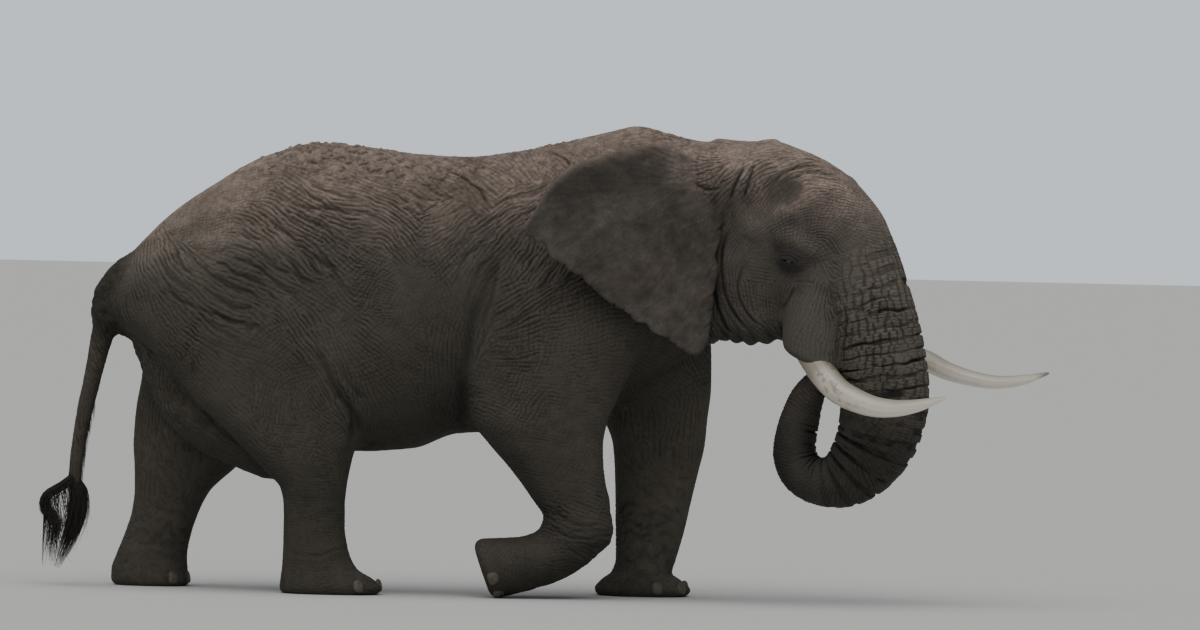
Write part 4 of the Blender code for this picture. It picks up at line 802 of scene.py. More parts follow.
# creases of the hide at places on its side (x, z): slope in degrees with forward as 0, pitch in cm, depth in mm, share of crossing lines
CREASES = [
    (-2.67, 2.12, 30, 2.8, 4, 0.8), (-2.40, 2.23, -55, 4, 5, 0.2), (-2.46, 1.79, -60, 4, 5, 0.3), (-2.23, 2.13, -45, 4.5, 6, 0.2),
    (-2.29, 1.73, -40, 4, 6, 0.3), (-2.06, 1.94, -35, 4.5, 7, 0.15), (-1.79, 1.87, -22, 4.5, 7, 0.2), (-2.12, 1.67, -25, 4, 5, 0.3),
    (-1.78, 1.64, -18, 4, 5, 0.4), (-1.52, 1.95, -28, 4.2, 6, 0.2), (-1.38, 1.81, -45, 4, 5, 0.4), (-1.25, 1.62, -55, 4, 5, 0.4),
    (-1.10, 1.35, -60, 4, 5, 0.3), (-1.00, 1.22, -65, 3.5, 4, 0.3), (-1.48, 1.65, -25, 3, 4.5, 0.9), (-1.41, 1.45, -40, 3, 4, 1),
    (-1.31, 1.35, -60, 3, 4, 0.6), (-1.50, 1.28, 80, 3.5, 4, 0.5), (-1.17, 1.08, -35, 3, 4, 0.6), (-1.36, 1.01, -5, 3, 3.5, 0.6),
    (-1.29, 0.74, 0, 2.5, 3, 0.5), (-1.28, 0.41, 0, 2.5, 3, 0.5), (-1.95, 1.40, -35, 4, 3, 0.3), (-2.04, 1.20, -45, 4, 3.5, 0.3),
    (-1.77, 1.07, -40, 4, 3, 0.3), (-2.18, 1.46, 80, 3, 4, 0.5), (-2.38, 1.26, 85, 3.5, 4, 0.4), (-2.30, 0.79, 80, 4, 3, 0.5),
    (-2.29, 0.32, 0, 3, 3, 0.5), (-2.07, 2.50, 25, 3, 3, 0.9), (-1.67, 2.75, 10, 3, 3, 0.9), (-1.47, 2.62, -40, 4, 5, 0.4),
    (-1.53, 2.42, -42, 4.5, 6, 0.2), (-1.33, 2.29, -38, 4.5, 7, 0.2), (-1.20, 2.52, -22, 4, 6, 0.3), (-1.00, 2.60, -12, 4, 5, 0.3),
    (-0.80, 2.53, -28, 4, 6, 0.25), (-0.66, 2.37, -42, 4, 6, 0.3), (-1.06, 2.36, -25, 4, 5, 0.3), (-1.12, 2.02, -35, 4, 5, 0.5),
    (-0.85, 2.10, -15, 3, 4, 0.9), (-0.71, 1.96, 5, 3, 3.5, 0.9), (-0.46, 2.37, 35, 4, 4, 0.6), (-0.32, 2.51, 40, 4, 5, 0.4),
    (-0.51, 1.97, 30, 3, 3, 1), (-0.71, 1.63, -40, 3, 3, 0.9), (-0.91, 1.62, -50, 4, 4, 0.5), (-0.70, 1.23, -60, 4, 3, 0.5),
    (-0.43, 1.43, 85, 3.5, 3, 0.6), (-0.34, 1.77, 80, 4, 4, 0.4), (-0.80, 2.87, -5, 3, 4, 0.9), (-1.21, 2.89, 0, 3, 4, 0.9),
    (-0.40, 2.81, -42, 5, 5, 0.6), (-0.19, 2.65, -50, 5, 5, 0.5), (0.07, 2.85, -55, 4.5, 5, 0.6), (0.34, 2.89, 60, 3.5, 4, 0.6),
    (0.60, 3.03, 85, 3, 3, 0.7), (0.87, 3.11, 0, 4, 3, 0.6), (-0.25, 2.04, 60, 4, 5, 0.3), (-0.12, 2.25, 42, 4.2, 6, 0.25),
    (0.01, 2.52, 40, 4, 6, 0.3), (0.07, 2.65, 35, 4, 5, 0.4), (0.12, 2.32, 55, 4, 6, 0.2), (0.22, 2.19, 50, 4, 6, 0.2),
    (0.09, 1.98, 32, 4, 5, 0.3), (-0.21, 1.71, 80, 4, 5, 0.3), (-0.23, 1.30, 88, 4, 5, 0.3), (0.09, 1.85, 25, 4, 5, 0.5),
    (0.36, 1.92, 22, 4, 5, 0.4), (0.56, 1.79, 15, 4, 4, 0.5), (0.03, 1.65, 12, 3.5, 5, 0.6), (0.37, 1.65, 8, 3.5, 4, 0.7),
    (-0.03, 1.41, -10, 3.2, 4, 0.9), (0.17, 1.31, -5, 3.2, 4, 1), (-0.16, 1.30, -12, 3.5, 4, 0.6), (0.38, 1.18, -5, 3, 3, 0.6),
    (0.64, 1.46, 0, 3.5, 2.5, 0.5), (-0.03, 1.11, -15, 3, 3, 0.6), (0.38, 0.85, -15, 3, 3, 0.6), (0.46, 0.51, -20, 4, 6, 0.3),
    (0.66, 0.45, -10, 4, 5, 0.3), (0.26, 0.31, 10, 3, 4, 0.5), (-0.01, 0.23, 70, 3, 3, 0.7), (0.91, 1.46, -20, 4, 3, 0.6),
    (0.98, 1.13, 80, 5, 3, 0.5), (0.99, 0.66, 5, 3, 3, 0.5), (1.00, 0.26, 0, 3, 3.5, 0.4), (1.28, 2.95, 10, 4, 4, 0.6),
    (1.21, 2.81, 25, 3.5, 5, 0.7), (1.41, 2.82, 50, 4, 6, 0.5), (1.58, 2.85, 60, 4, 5, 0.4), (1.54, 3.02, 10, 4, 3, 0.5),
    (1.75, 2.99, 12, 5, 4, 0.4), (1.95, 2.93, 25, 4.5, 6, 0.3), (2.12, 2.93, 8, 4.5, 6, 0.3), (2.29, 2.84, -25, 4, 3, 0.5),
    (2.15, 2.70, 0, 3, 3, 0.9), (2.36, 2.57, -10, 3, 3, 0.9), (2.02, 2.60, 15, 2.5, 3, 0.9), (1.89, 2.73, 40, 5, 1, 0.4),
    (1.69, 2.56, 30, 2.5, 3.5, 0.9), (1.56, 2.48, 35, 3, 3.5, 0.7), (1.42, 2.48, 75, 3.5, 4.5, 0.4), (1.40, 2.15, 88, 3.5, 5, 0.3),
    (1.42, 1.88, -75, 3.5, 5, 0.3), (1.53, 2.01, -80, 3.5, 4, 0.5), (1.52, 2.35, 70, 3, 3.5, 0.6), (1.64, 1.81, -40, 3.2, 4, 0.5),
    (1.73, 2.02, 85, 3.2, 4, 0.5), (1.70, 2.22, -5, 3.5, 2.5, 0.5), (1.90, 2.08, 55, 3, 3, 0.3), (2.00, 1.98, 60, 3.6, 3, 0.4),
    (2.08, 1.72, 84, 4.5, 2, 0.3), (2.23, 2.30, -50, 3.5, 5, 0.6), (2.29, 2.43, -35, 3, 3, 0.8), (2.27, 1.96, -70, 3.5, 6, 0.5),
    (2.25, 1.69, 88, 3.5, 6, 0.3), (2.43, 2.37, -5, 3, 4, 0.8),
]
# larger folds: side (-1 right, 1 left, 0 both), width, depth, line (x, z)
FOLDS = [
    (-1, 0.046, 0.007, [(0.14, 2.55), (-0.07, 2.23), (-0.14, 2.07), (-0.21, 1.77), (-0.26, 1.50), (-0.27, 1.20), (-0.23, 1.09)]),  # behind the shoulder
    (-1, 0.022, 0.007, [(0.05, 2.42), (-0.06, 2.15), (-0.11, 1.91), (-0.15, 1.71)]),  # second line behind the shoulder
    (-1, 0.034, 0.009, [(-1.30, 1.70), (-1.17, 1.48), (-1.07, 1.32), (-0.98, 1.19), (-0.92, 1.02)]),  # flank
    (-1, 0.018, 0.006, [(-1.14, 1.61), (-1.03, 1.43), (-0.93, 1.29)]),  # flank, second
    (-1, 0.028, 0.009, [(-1.02, 1.29), (-1.00, 1.08), (-1.03, 0.92)]),  # groin to knee
    (0, 0.02, 0.01, [(-1.65, 2.55), (-1.46, 2.40), (-1.27, 2.23), (-1.09, 2.14)]),  # hip arc
    (0, 0.018, 0.006, [(-1.30, 2.60), (-1.12, 2.57), (-0.96, 2.53), (-0.82, 2.45)]),  # hip arc, upper
    (0, 0.014, 0.008, [(-2.33, 2.13), (-2.16, 1.93), (-1.89, 1.82), (-1.58, 1.78)]),  # thigh arc
    (0, 0.01, 0.01, [(-0.45, 2.86), (-0.30, 2.79), (-0.19, 2.70), (-0.13, 2.62)]),  # back crease
    (0, 0.01, 0.009, [(0.24, 2.99), (0.34, 2.95), (0.41, 2.88)]),  # back crease, front
    (0, 0.010, 0.009, [(2.22, 2.06), (2.26, 1.93), (2.26, 1.82), (2.25, 1.70), (2.27, 1.55)]),  # cheek to trunk
    (0, 0.008, 0.006, [(2.20, 1.98), (2.215, 1.86), (2.20, 1.74), (2.21, 1.62)]),  # cheek to trunk, upper
    (0, 0.008, 0.005, [(2.31, 1.90), (2.30, 1.79), (2.31, 1.66)]),  # cheek to trunk, rear
    (0, 0.008, 0.004, [(1.89, 2.14), (1.97, 2.15), (2.06, 2.14)]),  # under the eye
    (0, 0.008, 0.009, [(1.93, 2.12), (1.89, 2.05), (1.84, 1.95)]),  # below the eye, slanting
    (0, 0.012, 0.009, [(1.75, 2.78), (1.83, 2.87), (1.99, 2.92), (2.19, 2.92)]),  # brow to forehead
    (0, 0.011, 0.008, [(1.86, 2.82), (2.02, 2.88), (2.21, 2.86)]),  # brow to forehead, lower
    (0, 0.013, 0.012, [(1.56, 2.67), (1.60, 2.81), (1.64, 2.96)]),  # ear root, front
    (0, 0.013, 0.012, [(1.47, 2.66), (1.51, 2.79), (1.59, 2.93)]),  # ear root, middle
    (0, 0.012, 0.01, [(1.21, 2.80), (1.32, 2.75), (1.43, 2.76)]),  # ear root, lower
    (0, 0.012, 0.014, [(1.42, 2.60), (1.36, 2.41), (1.38, 2.11), (1.45, 1.86), (1.55, 1.77)]),  # cheek arc
    (0, 0.011, 0.012, [(1.49, 2.52), (1.43, 2.33), (1.45, 2.09), (1.53, 1.91), (1.64, 1.79)]),  # cheek arc, front
    (0, 0.01, 0.010, [(1.58, 2.27), (1.54, 2.10), (1.60, 1.94), (1.71, 1.82)]),  # cheek arc, third
    (-1, 0.011, 0.006, [(0.34, 0.60), (0.48, 0.51), (0.70, 0.51)]),  # wrist
    (-1, 0.011, 0.006, [(0.32, 0.50), (0.49, 0.41), (0.69, 0.42)]),  # wrist, lower
    (-1, 0.012, 0.002, [(-1.46, 0.81), (-1.29, 0.77), (-1.04, 0.82)]),  # knee
    (-1, 0.012, 0.004, [(-1.44, 0.30), (-1.25, 0.26), (-1.00, 0.31)]),  # ankle
    (1, 0.013, 0.006, [(-2.52, 0.31), (-2.36, 0.28), (-2.14, 0.32)]),  # far ankle
    (1, 0.013, 0.006, [(0.81, 0.52), (1.00, 0.47), (1.21, 0.53)]),  # far wrist
    (1, 0.018, 0.005, [(0.77, 1.06), (0.98, 0.98), (1.32, 1.07)]),  # far elbow
]


# ---------------------------------------------------------------- flesh with its finer forms
HEAD_LO, HEAD_HI = HEAD_AT - (0.8, 0.75, 1.0), HEAD_AT + (1.15, 0.75, 0.75)
LID_TILT = math.radians(-12)


def in_head(P, mirror=True):
    q = (P - HEAD_AT) @ HEAD_AXES.T
    if mirror:
        q = np.column_stack([q[:, 0], -np.abs(q[:, 1]), q[:, 2]])
    return q


def about_eye(q):
    """Mirrored head coordinates as: along the lids, across them, distance from the eyeball's middle, depth inward."""
    r = q - np.array([EYE_AT[0], -EYE_AT[1], EYE_AT[2]])
    s = r[:, 0] * math.cos(LID_TILT) + r[:, 2] * math.sin(LID_TILT)
    h = -r[:, 0] * math.sin(LID_TILT) + r[:, 2] * math.cos(LID_TILT)
    return s, h, np.linalg.norm(r, axis=1), r[:, 1]


def flesh(P):
    d = body(P, detail=True)
    i = near(P, HEAD_LO, HEAD_HI, 0.0)
    if len(i):
        q = in_head(P[i])
        s, h, r, _ = about_eye(q)
        e = d[i]
        lids = np.sqrt((s / 1.35) ** 2 + (h - 0.004) ** 2 + (r * r - s * s - h * h)) - (EYE_RADIUS + 0.0045)
        e = smin(e, lids, 0.05)
        d[i] = e
    return d


def folds_of(P, side_value):
    """How strongly each place lies in a named fold, and how deep it goes there."""
    out = np.zeros(len(P), np.float32)
    side = np.sign(side_value)
    x, z = P[:, 0], P[:, 2]
    for which, width, depth, line in FOLDS:
        pts = smooth_path(np.array(line), 4 * len(line))
        lo, hi = pts.min(0) - 4 * width, pts.max(0) + 4 * width
        i = np.flatnonzero((x > lo[0]) & (x < hi[0]) & (z > lo[1]) & (z < hi[1]) & ((side == which) | (which == 0)))
        if not len(i):
            continue
        q = np.column_stack([x[i], z[i]])
        best, where = np.full(len(i), 9.0), np.zeros(len(i))
        for j in range(len(pts) - 1):
            a, ab = pts[j], pts[j + 1] - pts[j]
            t = np.clip(((q - a) @ ab) / (ab @ ab + 1e-12), 0, 1)
            e = np.hypot(*(q - a - t[:, None] * ab).T)
            better = e < best
            best = np.where(better, e, best)
            where = np.where(better, (j + t) / (len(pts) - 1), where)
        taper = np.minimum(step01(0, 0.22, where), step01(1, 0.78, where))
        g = np.exp(-(best / width) ** 2) - 0.35 * np.exp(-((best - 2.1 * width) / width) ** 2)
        v = depth * taper * g
        out[i] = np.where(np.abs(v) > np.abs(out[i]), v, out[i])
    return out


def combed(P, D, step, length, seed, count):
    """Noise drawn out along D, with unit spread."""
    out = np.zeros(len(P), np.float32)
    total = 0.0
    for k in range(count):
        t = k / (count - 1) - 0.5
        wt = math.cos(math.pi * t * 0.85)
        out += wt * noise((P + D * np.float32(t * length)) / np.float32(step), seed)
        total += wt * wt
    return out / np.float32(0.36 * math.sqrt(total) * 1.25)


def creased(n, width=0.35):
    """1 in the middle of a groove, 0 on the plate beside it."""
    return np.exp(-(n / width) ** 2)


_rng3 = np.random.default_rng(23)
BRICK = _rng3.uniform(0, 0.3, 61).astype(np.float32)
GROIN_PATH = np.array([(x, -0.06, z, r) for x, z, r in smooth_path(GROIN, 10)])
KERNELS = _rng3.random((32, 32, 32, 2, 4)).astype(np.float32)
KERNELS[..., 3] = np.where(KERNELS[..., 3] < 0.5, -1, 1)


def waves(P, A, cell, seed):
    """Grooves, 0 to 1, that lie across A (radians per metre) and keep in step over a cell or so."""
    u = (P / np.float32(cell) + np.float32(seed * 9.37)).astype(np.float32)
    A = (A * cell).astype(np.float32)
    base = np.floor(u).astype(np.int32)
    re = np.zeros(len(P), np.float32)
    im = np.zeros(len(P), np.float32)
    for i in (-1, 0, 1):
        for j in (-1, 0, 1):
            for k in (-1, 0, 1):
                c = base + np.array([i, j, k], np.int32)
                K = KERNELS[c[:, 0] & 31, c[:, 1] & 31, c[:, 2] & 31]
                c = u - c
                for m in (0, 1):
                    o = c - K[:, m, :3]
                    w = 1 - (o * o).sum(1)
                    on = np.flatnonzero(w > 0)
                    ph = (o[on] * A[on]).sum(1)
                    w = w[on] ** 2 * K[on, m, 3]
                    re[on] += w * np.cos(ph)
                    im[on] += w * np.sin(ph)
    size = np.hypot(re, im)
    return np.clip((re / (size + 1e-6) + 0.15) / 1.15, 0, 1) ** 1.7 * step01(0.03, 0.35, size)


CR = np.array(CREASES)
TRUNK_ROWS, TRUNK_FLAT = trunk_path(80)
TRUNK_LONG = float(np.linalg.norm(np.diff(TRUNK_ROWS[:, :3], axis=0), axis=1).sum())
_tt = np.gradient(TRUNK_ROWS[:, :3], axis=0)
TRUNK_DIR = _tt / np.linalg.norm(_tt, axis=1)[:, None]


def relief(P, N):
    """How far each point of the skin moves out, and what its colour needs: columns move, cavity, dust, hole, mud, ear,
    trunk, anal, head, temple, sheath, eye.
    """
    P = P.astype(np.float32)
    N = N.astype(np.float32)
    n = len(P)
    # the place on the right-hand side that this one mirrors
    q = (P - HEAD_AT.astype(np.float32)) @ HEAD_AXES.T.astype(np.float32)
    in_hd = step01(-0.62, -0.38, q[:, 0]) * step01(-1.9, -1.5, q[:, 2]) * (P[:, 0] > 1.0)
    m = q.copy()
    m[:, 1] = -np.abs(q[:, 1])
    M = (m @ HEAD_AXES.astype(np.float32) + HEAD_AT).astype(np.float32)
    x = P[:, 0] * (1 - in_hd) + M[:, 0] * in_hd
    z = P[:, 2] * (1 - in_hd) + M[:, 2] * in_hd
    side = np.where(in_hd > 0.5, q[:, 1], P[:, 1])
    # crease directions
    c2 = np.zeros(n, np.float32)
    s2 = np.zeros(n, np.float32)
    pitch = np.zeros(n, np.float32)
    depth = np.zeros(n, np.float32)
    cross = np.zeros(n, np.float32)
    total = np.zeros(n, np.float32)
    for cx, cz, ang, pt, dp, cr in CR:
        w = 1.0 / ((x - cx) ** 2 + (z - cz) ** 2 + 0.012) ** 2.5
        a = math.radians(2 * ang)
        c2 += w * math.cos(a)
        s2 += w * math.sin(a)
        pitch += w * pt
        depth += w * dp
        cross += w * cr
        total += w
    c2, s2, pitch, depth, cross = c2 / total, s2 / total, pitch / total * 0.01, depth / total * 0.001, cross / total
    facing = np.clip(-N[:, 1] * 3, -1, 1)
    ang = 0.5 * np.arctan2(s2 * facing, c2 + 1e-4)
    ang = ang + 0.28 * noise(P / 0.21, 40) + 0.2 * noise(P / 0.08, 41)
    zed = np.array([0, 0, 1], np.float32)
    e1 = np.cross(zed, N) * np.where(N[:, 1] > 0, -1, 1)[:, None]
    top = step01(0.75, 0.95, np.abs(N[:, 2]))
    ex = np.array([1, 0, 0], np.float32) - N * N[:, :1]
    e1 = e1 * (1 - top)[:, None] + ex * top[:, None]
    e1 /= np.linalg.norm(e1, axis=1)[:, None] + 1e-6
    e2 = np.cross(N, e1)
    e2 *= np.where(e2[:, 2] < 0, -1, 1)[:, None]
    D1 = e1 * np.cos(ang)[:, None] + e2 * np.sin(ang)[:, None]
    cang = ang + 1.25
    D2 = e1 * np.cos(cang)[:, None] + e2 * np.sin(cang)[:, None]
    # trunk
    t_d, share = flat_limb(P, TRUNK_ROWS, TRUNK_FLAT, PLANE[1], pad=0.1)
    on_trunk = step01(0.035, 0.008, t_d) * step01(0.02, 0.07, share)
    i = np.clip((share * 79).astype(int), 0, 79)
    along = TRUNK_DIR[i].astype(np.float32)
    around = np.cross(along, N)
    around /= np.linalg.norm(around, axis=1)[:, None] + 1e-6
    D1 = D1 * (1 - on_trunk)[:, None] + around * (on_trunk * np.where((around * D1).sum(1) < 0, -1, 1))[:, None]
    D1 /= np.linalg.norm(D1, axis=1)[:, None] + 1e-6
    D2 = D2 * (1 - on_trunk)[:, None] + along * (on_trunk * np.where((along * D2).sum(1) < 0, -1, 1))[:, None]
    D2 /= np.linalg.norm(D2, axis=1)[:, None] + 1e-6
    D1, D2 = D1.astype(np.float32), D2.astype(np.float32)
    # masks
    ear_d = np.minimum(ear(P, -1.0, 0.0, 1.0, 0.018, 0.014), ear(P, 1.0, 0.32, 0.92, 0.018, 0.014))
    on_ear = step01(0.02, 0.006, ear_d)
    sole = step01(0.035, 0.01, P[:, 2]) * step01(-0.5, -0.9, N[:, 2])
    s, h, r, inward = about_eye(m)
    rho = np.sqrt((s / 1.3) ** 2 + h * h)
    by_eye = step01(0.15, 0.07, rho) * (inward < 0.05) * (np.abs(inward) < 0.12)
    sheath = step01(0.15, 0.24, m[:, 0]) * step01(0.56, 0.36, m[:, 0] + 0.03 * noise(P / 0.07, 46)) * step01(-0.22, -0.46, m[:, 2] + 0.04 * noise(P / 0.09, 47)) * step01(-0.22, -0.32, m[:, 1])
    temple = step01(1.15, 0.75, np.sqrt(((m[:, 0] - 0.20) / 0.13) ** 2 + ((m[:, 2] - 0.395) / 0.11) ** 2))
    tailish = step01(0.03, 0.0, limb(P, TAIL_ROWS)) * (P[:, 2] < 1.8)
    # long even creases that run side by side and fork, and weaker ones across them
    calm = (1 - 0.76 * on_ear) * (1 - sole) * (1 - 0.75 * by_eye) * (1 - 0.15 * sheath) * (1 - 0.3 * temple)
    pitch = pitch * (1 - on_trunk) + 0.034 * on_trunk
    depth = depth * (1 - on_trunk) + np.interp(share * TRUNK_LONG, [0, 0.4, 1.4, 1.8], [0.0042, 0.0062, 0.0060, 0.0040]) * on_trunk
    cross = cross * (1 - on_trunk) + 0.9 * on_trunk
    W = P + np.column_stack([0.008 * noise(P / np.float32(0.065), 120 + k) for k in range(3)]) + np.column_stack([0.0035 * noise(P / np.float32(0.026), 130 + k) for k in range(3)])
    W = W.astype(np.float32)
    tape = np.clip(np.round(np.interp(share * TRUNK_LONG, [0, 0.3, 0.75, 1.05, 1.4, 2.0, 2.6, 3.2], [0, 3.2, 8.6, 12.6, 17.8, 29.0, 41.5, 55.0])), 0, 60).astype(int)
    across1 = np.cross(N, D1)
    across2 = np.cross(N, D2)
    ell = share * TRUNK_LONG
    g1 = waves(W, across1 * (2 * np.pi / (0.74 * pitch))[:, None], 0.098, 0) * (1 - 0.60 * on_trunk * step01(1.6, 1.3, ell))
    brick = (W + across2 * (on_trunk * BRICK[tape])[:, None]).astype(np.float32)  # the plates of one ring don't line up with the next
    g2 = waves(brick, across2 * (2 * np.pi / (0.88 * pitch * (1 + 1.0 * on_trunk)))[:, None], 0.085, 1)
    g3 = waves(W, across1 * (2 * np.pi / (0.46 * pitch))[:, None], 0.062, 2)
    g1 = g1 * np.clip(0.85 + 0.5 * noise(W / np.float32(0.045), 73), 0.25, 1.2)
    g0 = waves(W, across1 * (2 * np.pi / (2.4 * pitch))[:, None], 0.19, 3) ** 1.6 * (1 - on_trunk)  # deeper, wider-set folds among them
    g0 = g0 * step01(0.0035, 0.0060, depth) * np.clip(0.6 + 1.1 * noise(P / np.float32(0.30), 74), 0, 1)
    patchy = np.clip(0.80 + 0.55 * fractal(P / np.float32(0.24), 2, 70), 0.25, 1.3)
    g2 = g2 * (1 - 0.5 * on_trunk * step01(1.0, 1.25, ell)) * np.clip(cross * (1.0 + 0.9 * noise(P / np.float32(0.12), 80)) * (1 - 0.6 * on_trunk * step01(1.2, 0.95, P[:, 2])), 0, 1)
    fine = step01(-0.62, -0.38, q[:, 0]) * in_hd
    both = 1 - (1 - g1) * (1 - (0.75 + 0.10 * on_trunk) * g2) * (1 - 0.38 * g3 * (0.4 + 0.6 * fine) * np.clip(0.75 + 1.1 * noise(P / np.float32(0.11), 75), 0, 1.3)) * (1 - 0.85 * g0)
    groove = both * patchy
    soft = fractal(P / np.float32(0.09), 2, 72)
    crest = step01(2.62, 2.86, P[:, 2]) * step01(0.05, 0.5, N[:, 2]) * (1 - on_ear) * (1 - 0.55 * step01(-0.5, 0.1, P[:, 0]))
    pebble = fractal(P / np.float32(0.030), 2, 76)
    groove = groove * (1 - 0.40 * crest)
    move = depth * calm * (-1.4 * (groove - 0.30) - 1.1 * g0 + 0.45 * soft) + 0.0038 * crest * pebble
    cavity = np.clip(groove * calm, 0, 1.2) * np.clip(depth / 0.0045, 0.45, 1.2)
    cavity = np.maximum(cavity, crest * 0.62 * step01(-0.05, -0.50, pebble))
    # rings of the trunk
    wob = ell + (0.018 * noise(P / 0.16, 50) + 0.008 * noise(P / 0.05, 51)) * np.interp(ell, [0, 1.2, 1.7], [1, 1, 0.35])
    bend = np.interp(ell, [0, 0.3, 0.75, 1.05, 1.4, 2.0, 2.6, 3.2], [0, 3.2, 8.6, 12.6, 17.8, 29.0, 41.5, 55.0])
    bend = bend + (wob - ell) * np.interp(ell, [0, 0.75, 1.4, 2.6], [11, 12.5, 17, 21])
    f = np.abs(bend - np.round(bend)) / np.interp(ell, [0, 0.75, 1.05, 1.4, 2.0, 2.6], [10.7, 12.5, 14, 17, 19.5, 21])
    wide = np.interp(ell, [0, 0.9, 1.5, 3.0], [0.010, 0.0085, 0.0070, 0.0062])
    ring = np.exp(-(f / wide) ** 2)
    even = step01(0.95, 1.20, ell)  # lower down the rings are alike and close
    ring *= (0.80 + 0.20 * np.cos(np.pi * np.round(bend))) * (1 - even) + even
    ring *= np.clip(0.98 + 0.7 * (1 - 0.75 * even) * noise(P / np.float32(0.12), 53), 0.3, 1.2)
    front = (N @ PLANE[0].astype(np.float32))
    start = step01(0.03, 0.24, share * 1.0 + 0.10 * np.clip(front, -1, 1))
    hub = np.array([2.15, 1.15], np.float32) - P[:, [0, 2]]  # the curl's rings bite into its inner edge
    within = (N[:, 0] * hub[:, 0] + N[:, 2] * hub[:, 1]) / (np.hypot(hub[:, 0], hub[:, 1]) + 1e-6)
    bite = step01(-0.1, 0.7, within)
    start = start * (1 + 1.1 * step01(1.2, 1.5, ell) * bite) * (1 - 0.92 * step01(1.75, 2.10, ell) * (1 - bite))
    rdepth = np.interp(ell, [0, 0.5, 1.0, 1.5, 2.2, 3.0], [0.005, 0.013, 0.017, 0.014, 0.010, 0.008]) * (0.75 + 0.5 * noise(P / 0.12, 52))
    move += -on_trunk * start * rdepth * ring + on_trunk * start * 0.35 * rdepth * (1 - ring)
    cavity = np.maximum(cavity, on_trunk * start * ring * np.interp(ell, [0, 0.35, 1.0, 1.35, 1.7, 3.0], [0.5, 0.95, 1.1, 0.85, 0.6, 0.5]))
    # named folds
    wx, wz = 0.022 * noise(P / 0.17, 110) + 0.008 * noise(P / 0.05, 112), 0.022 * noise(P / 0.17, 111) + 0.008 * noise(P / 0.05, 113)
    wob_by = 1 - 0.75 * in_hd
    fold = folds_of(np.column_stack([x + wx * wob_by, np.zeros(n, np.float32), z + wz * wob_by]), side)
    fold *= np.clip(0.85 + 0.55 * noise(P / 0.13, 114) * wob_by, 0.2, 1.3)
    fold = fold * (1 - on_ear) * np.where((side > 0) & (in_hd < 0.5) & (z > 1.0), 0.45, 1) * step01(0.0, 0.35, np.abs(N[:, 1]))
    fold *= np.where(in_hd > 0.5, step01(-0.05, -0.12, m[:, 1]), 1)
    move -= fold
    cavity = np.maximum(cavity, np.clip(fold / 0.009, 0, 1.5))
    # ear: veins run back and down from the root, and soft ripples; its rolled rim above comes from ear()'s shape
    fan = np.column_stack([np.full(n, -0.85, np.float32), np.zeros(n, np.float32), (z - 2.75) * 0.9 - 0.1])
    fan -= N * (fan * N).sum(1)[:, None]
    fan /= np.linalg.norm(fan, axis=1)[:, None] + 1e-6
    vein = creased(combed(P, fan.astype(np.float32), 0.045, 0.26, 31, 8), 0.25) - 0.3
    ripple = fractal(P / np.float32(0.17), 2, 33)
    swell = fractal(P / np.float32(0.075), 2, 34)
    move += on_ear * (0.0030 * vein + 0.0055 * ripple + 0.0032 * swell)
    cavity = np.maximum(cavity, on_ear * (0.10 * (vein + 0.3) + 0.35 * step01(0.1, -0.5, swell)))
    # mud dried in clumps on the back, caked dust
    back = step01(2.60, 2.84, P[:, 2]) * step01(0.25, 0.7, N[:, 2]) * step01(1.35, 0.9, P[:, 0]) * (1 - on_ear)
    clump = fractal(P / np.float32(0.042), 3, 60)
    area = step01(0.0, 0.5, noise(P / np.float32(0.26), 61) + 0.6 * step01(1.1, 0.1, np.abs(P[:, 0] + 0.95)))
    mud = step01(0.12, 0.30, clump) * area * back
    move += 0.011 * mud
    cavity = np.maximum(cavity, back * area * step01(0.10, 0.0, np.abs(clump - 0.13)) * 0.9)
    anal = step01(0.30, 0.15, np.linalg.norm((P - np.array([-2.60, 0, 1.90])) / np.array([1, 1, 1.5]), axis=1)) * (N[:, 0] < 0.6)
    lumps = fractal(P / np.float32(0.045), 2, 62)
    move += anal * 0.011 * lumps
    inner = step01(0.10, 0.02, limb(P, GROIN_PATH)) * step01(0.9, 1.15, P[:, 2])
    move += inner * 0.009 * lumps
    jaw = in_hd * (1 - on_ear) * (1 - on_trunk) * (1 - sheath) * step01(-0.35, -0.8, N[:, 2]) * step01(1.95, 1.85, P[:, 2])
    scallop = np.cos((m[:, 0] + 0.03 * noise(P / np.float32(0.15), 77)) * (2 * np.pi / 0.105))
    move += 0.011 * jaw * scallop
    cavity = np.maximum(cavity, 0.7 * jaw * step01(-0.4, -0.9, scallop))
    cavity = np.maximum(cavity, 0.6 * np.maximum(inner, anal) * step01(0.05, -0.45, lumps))
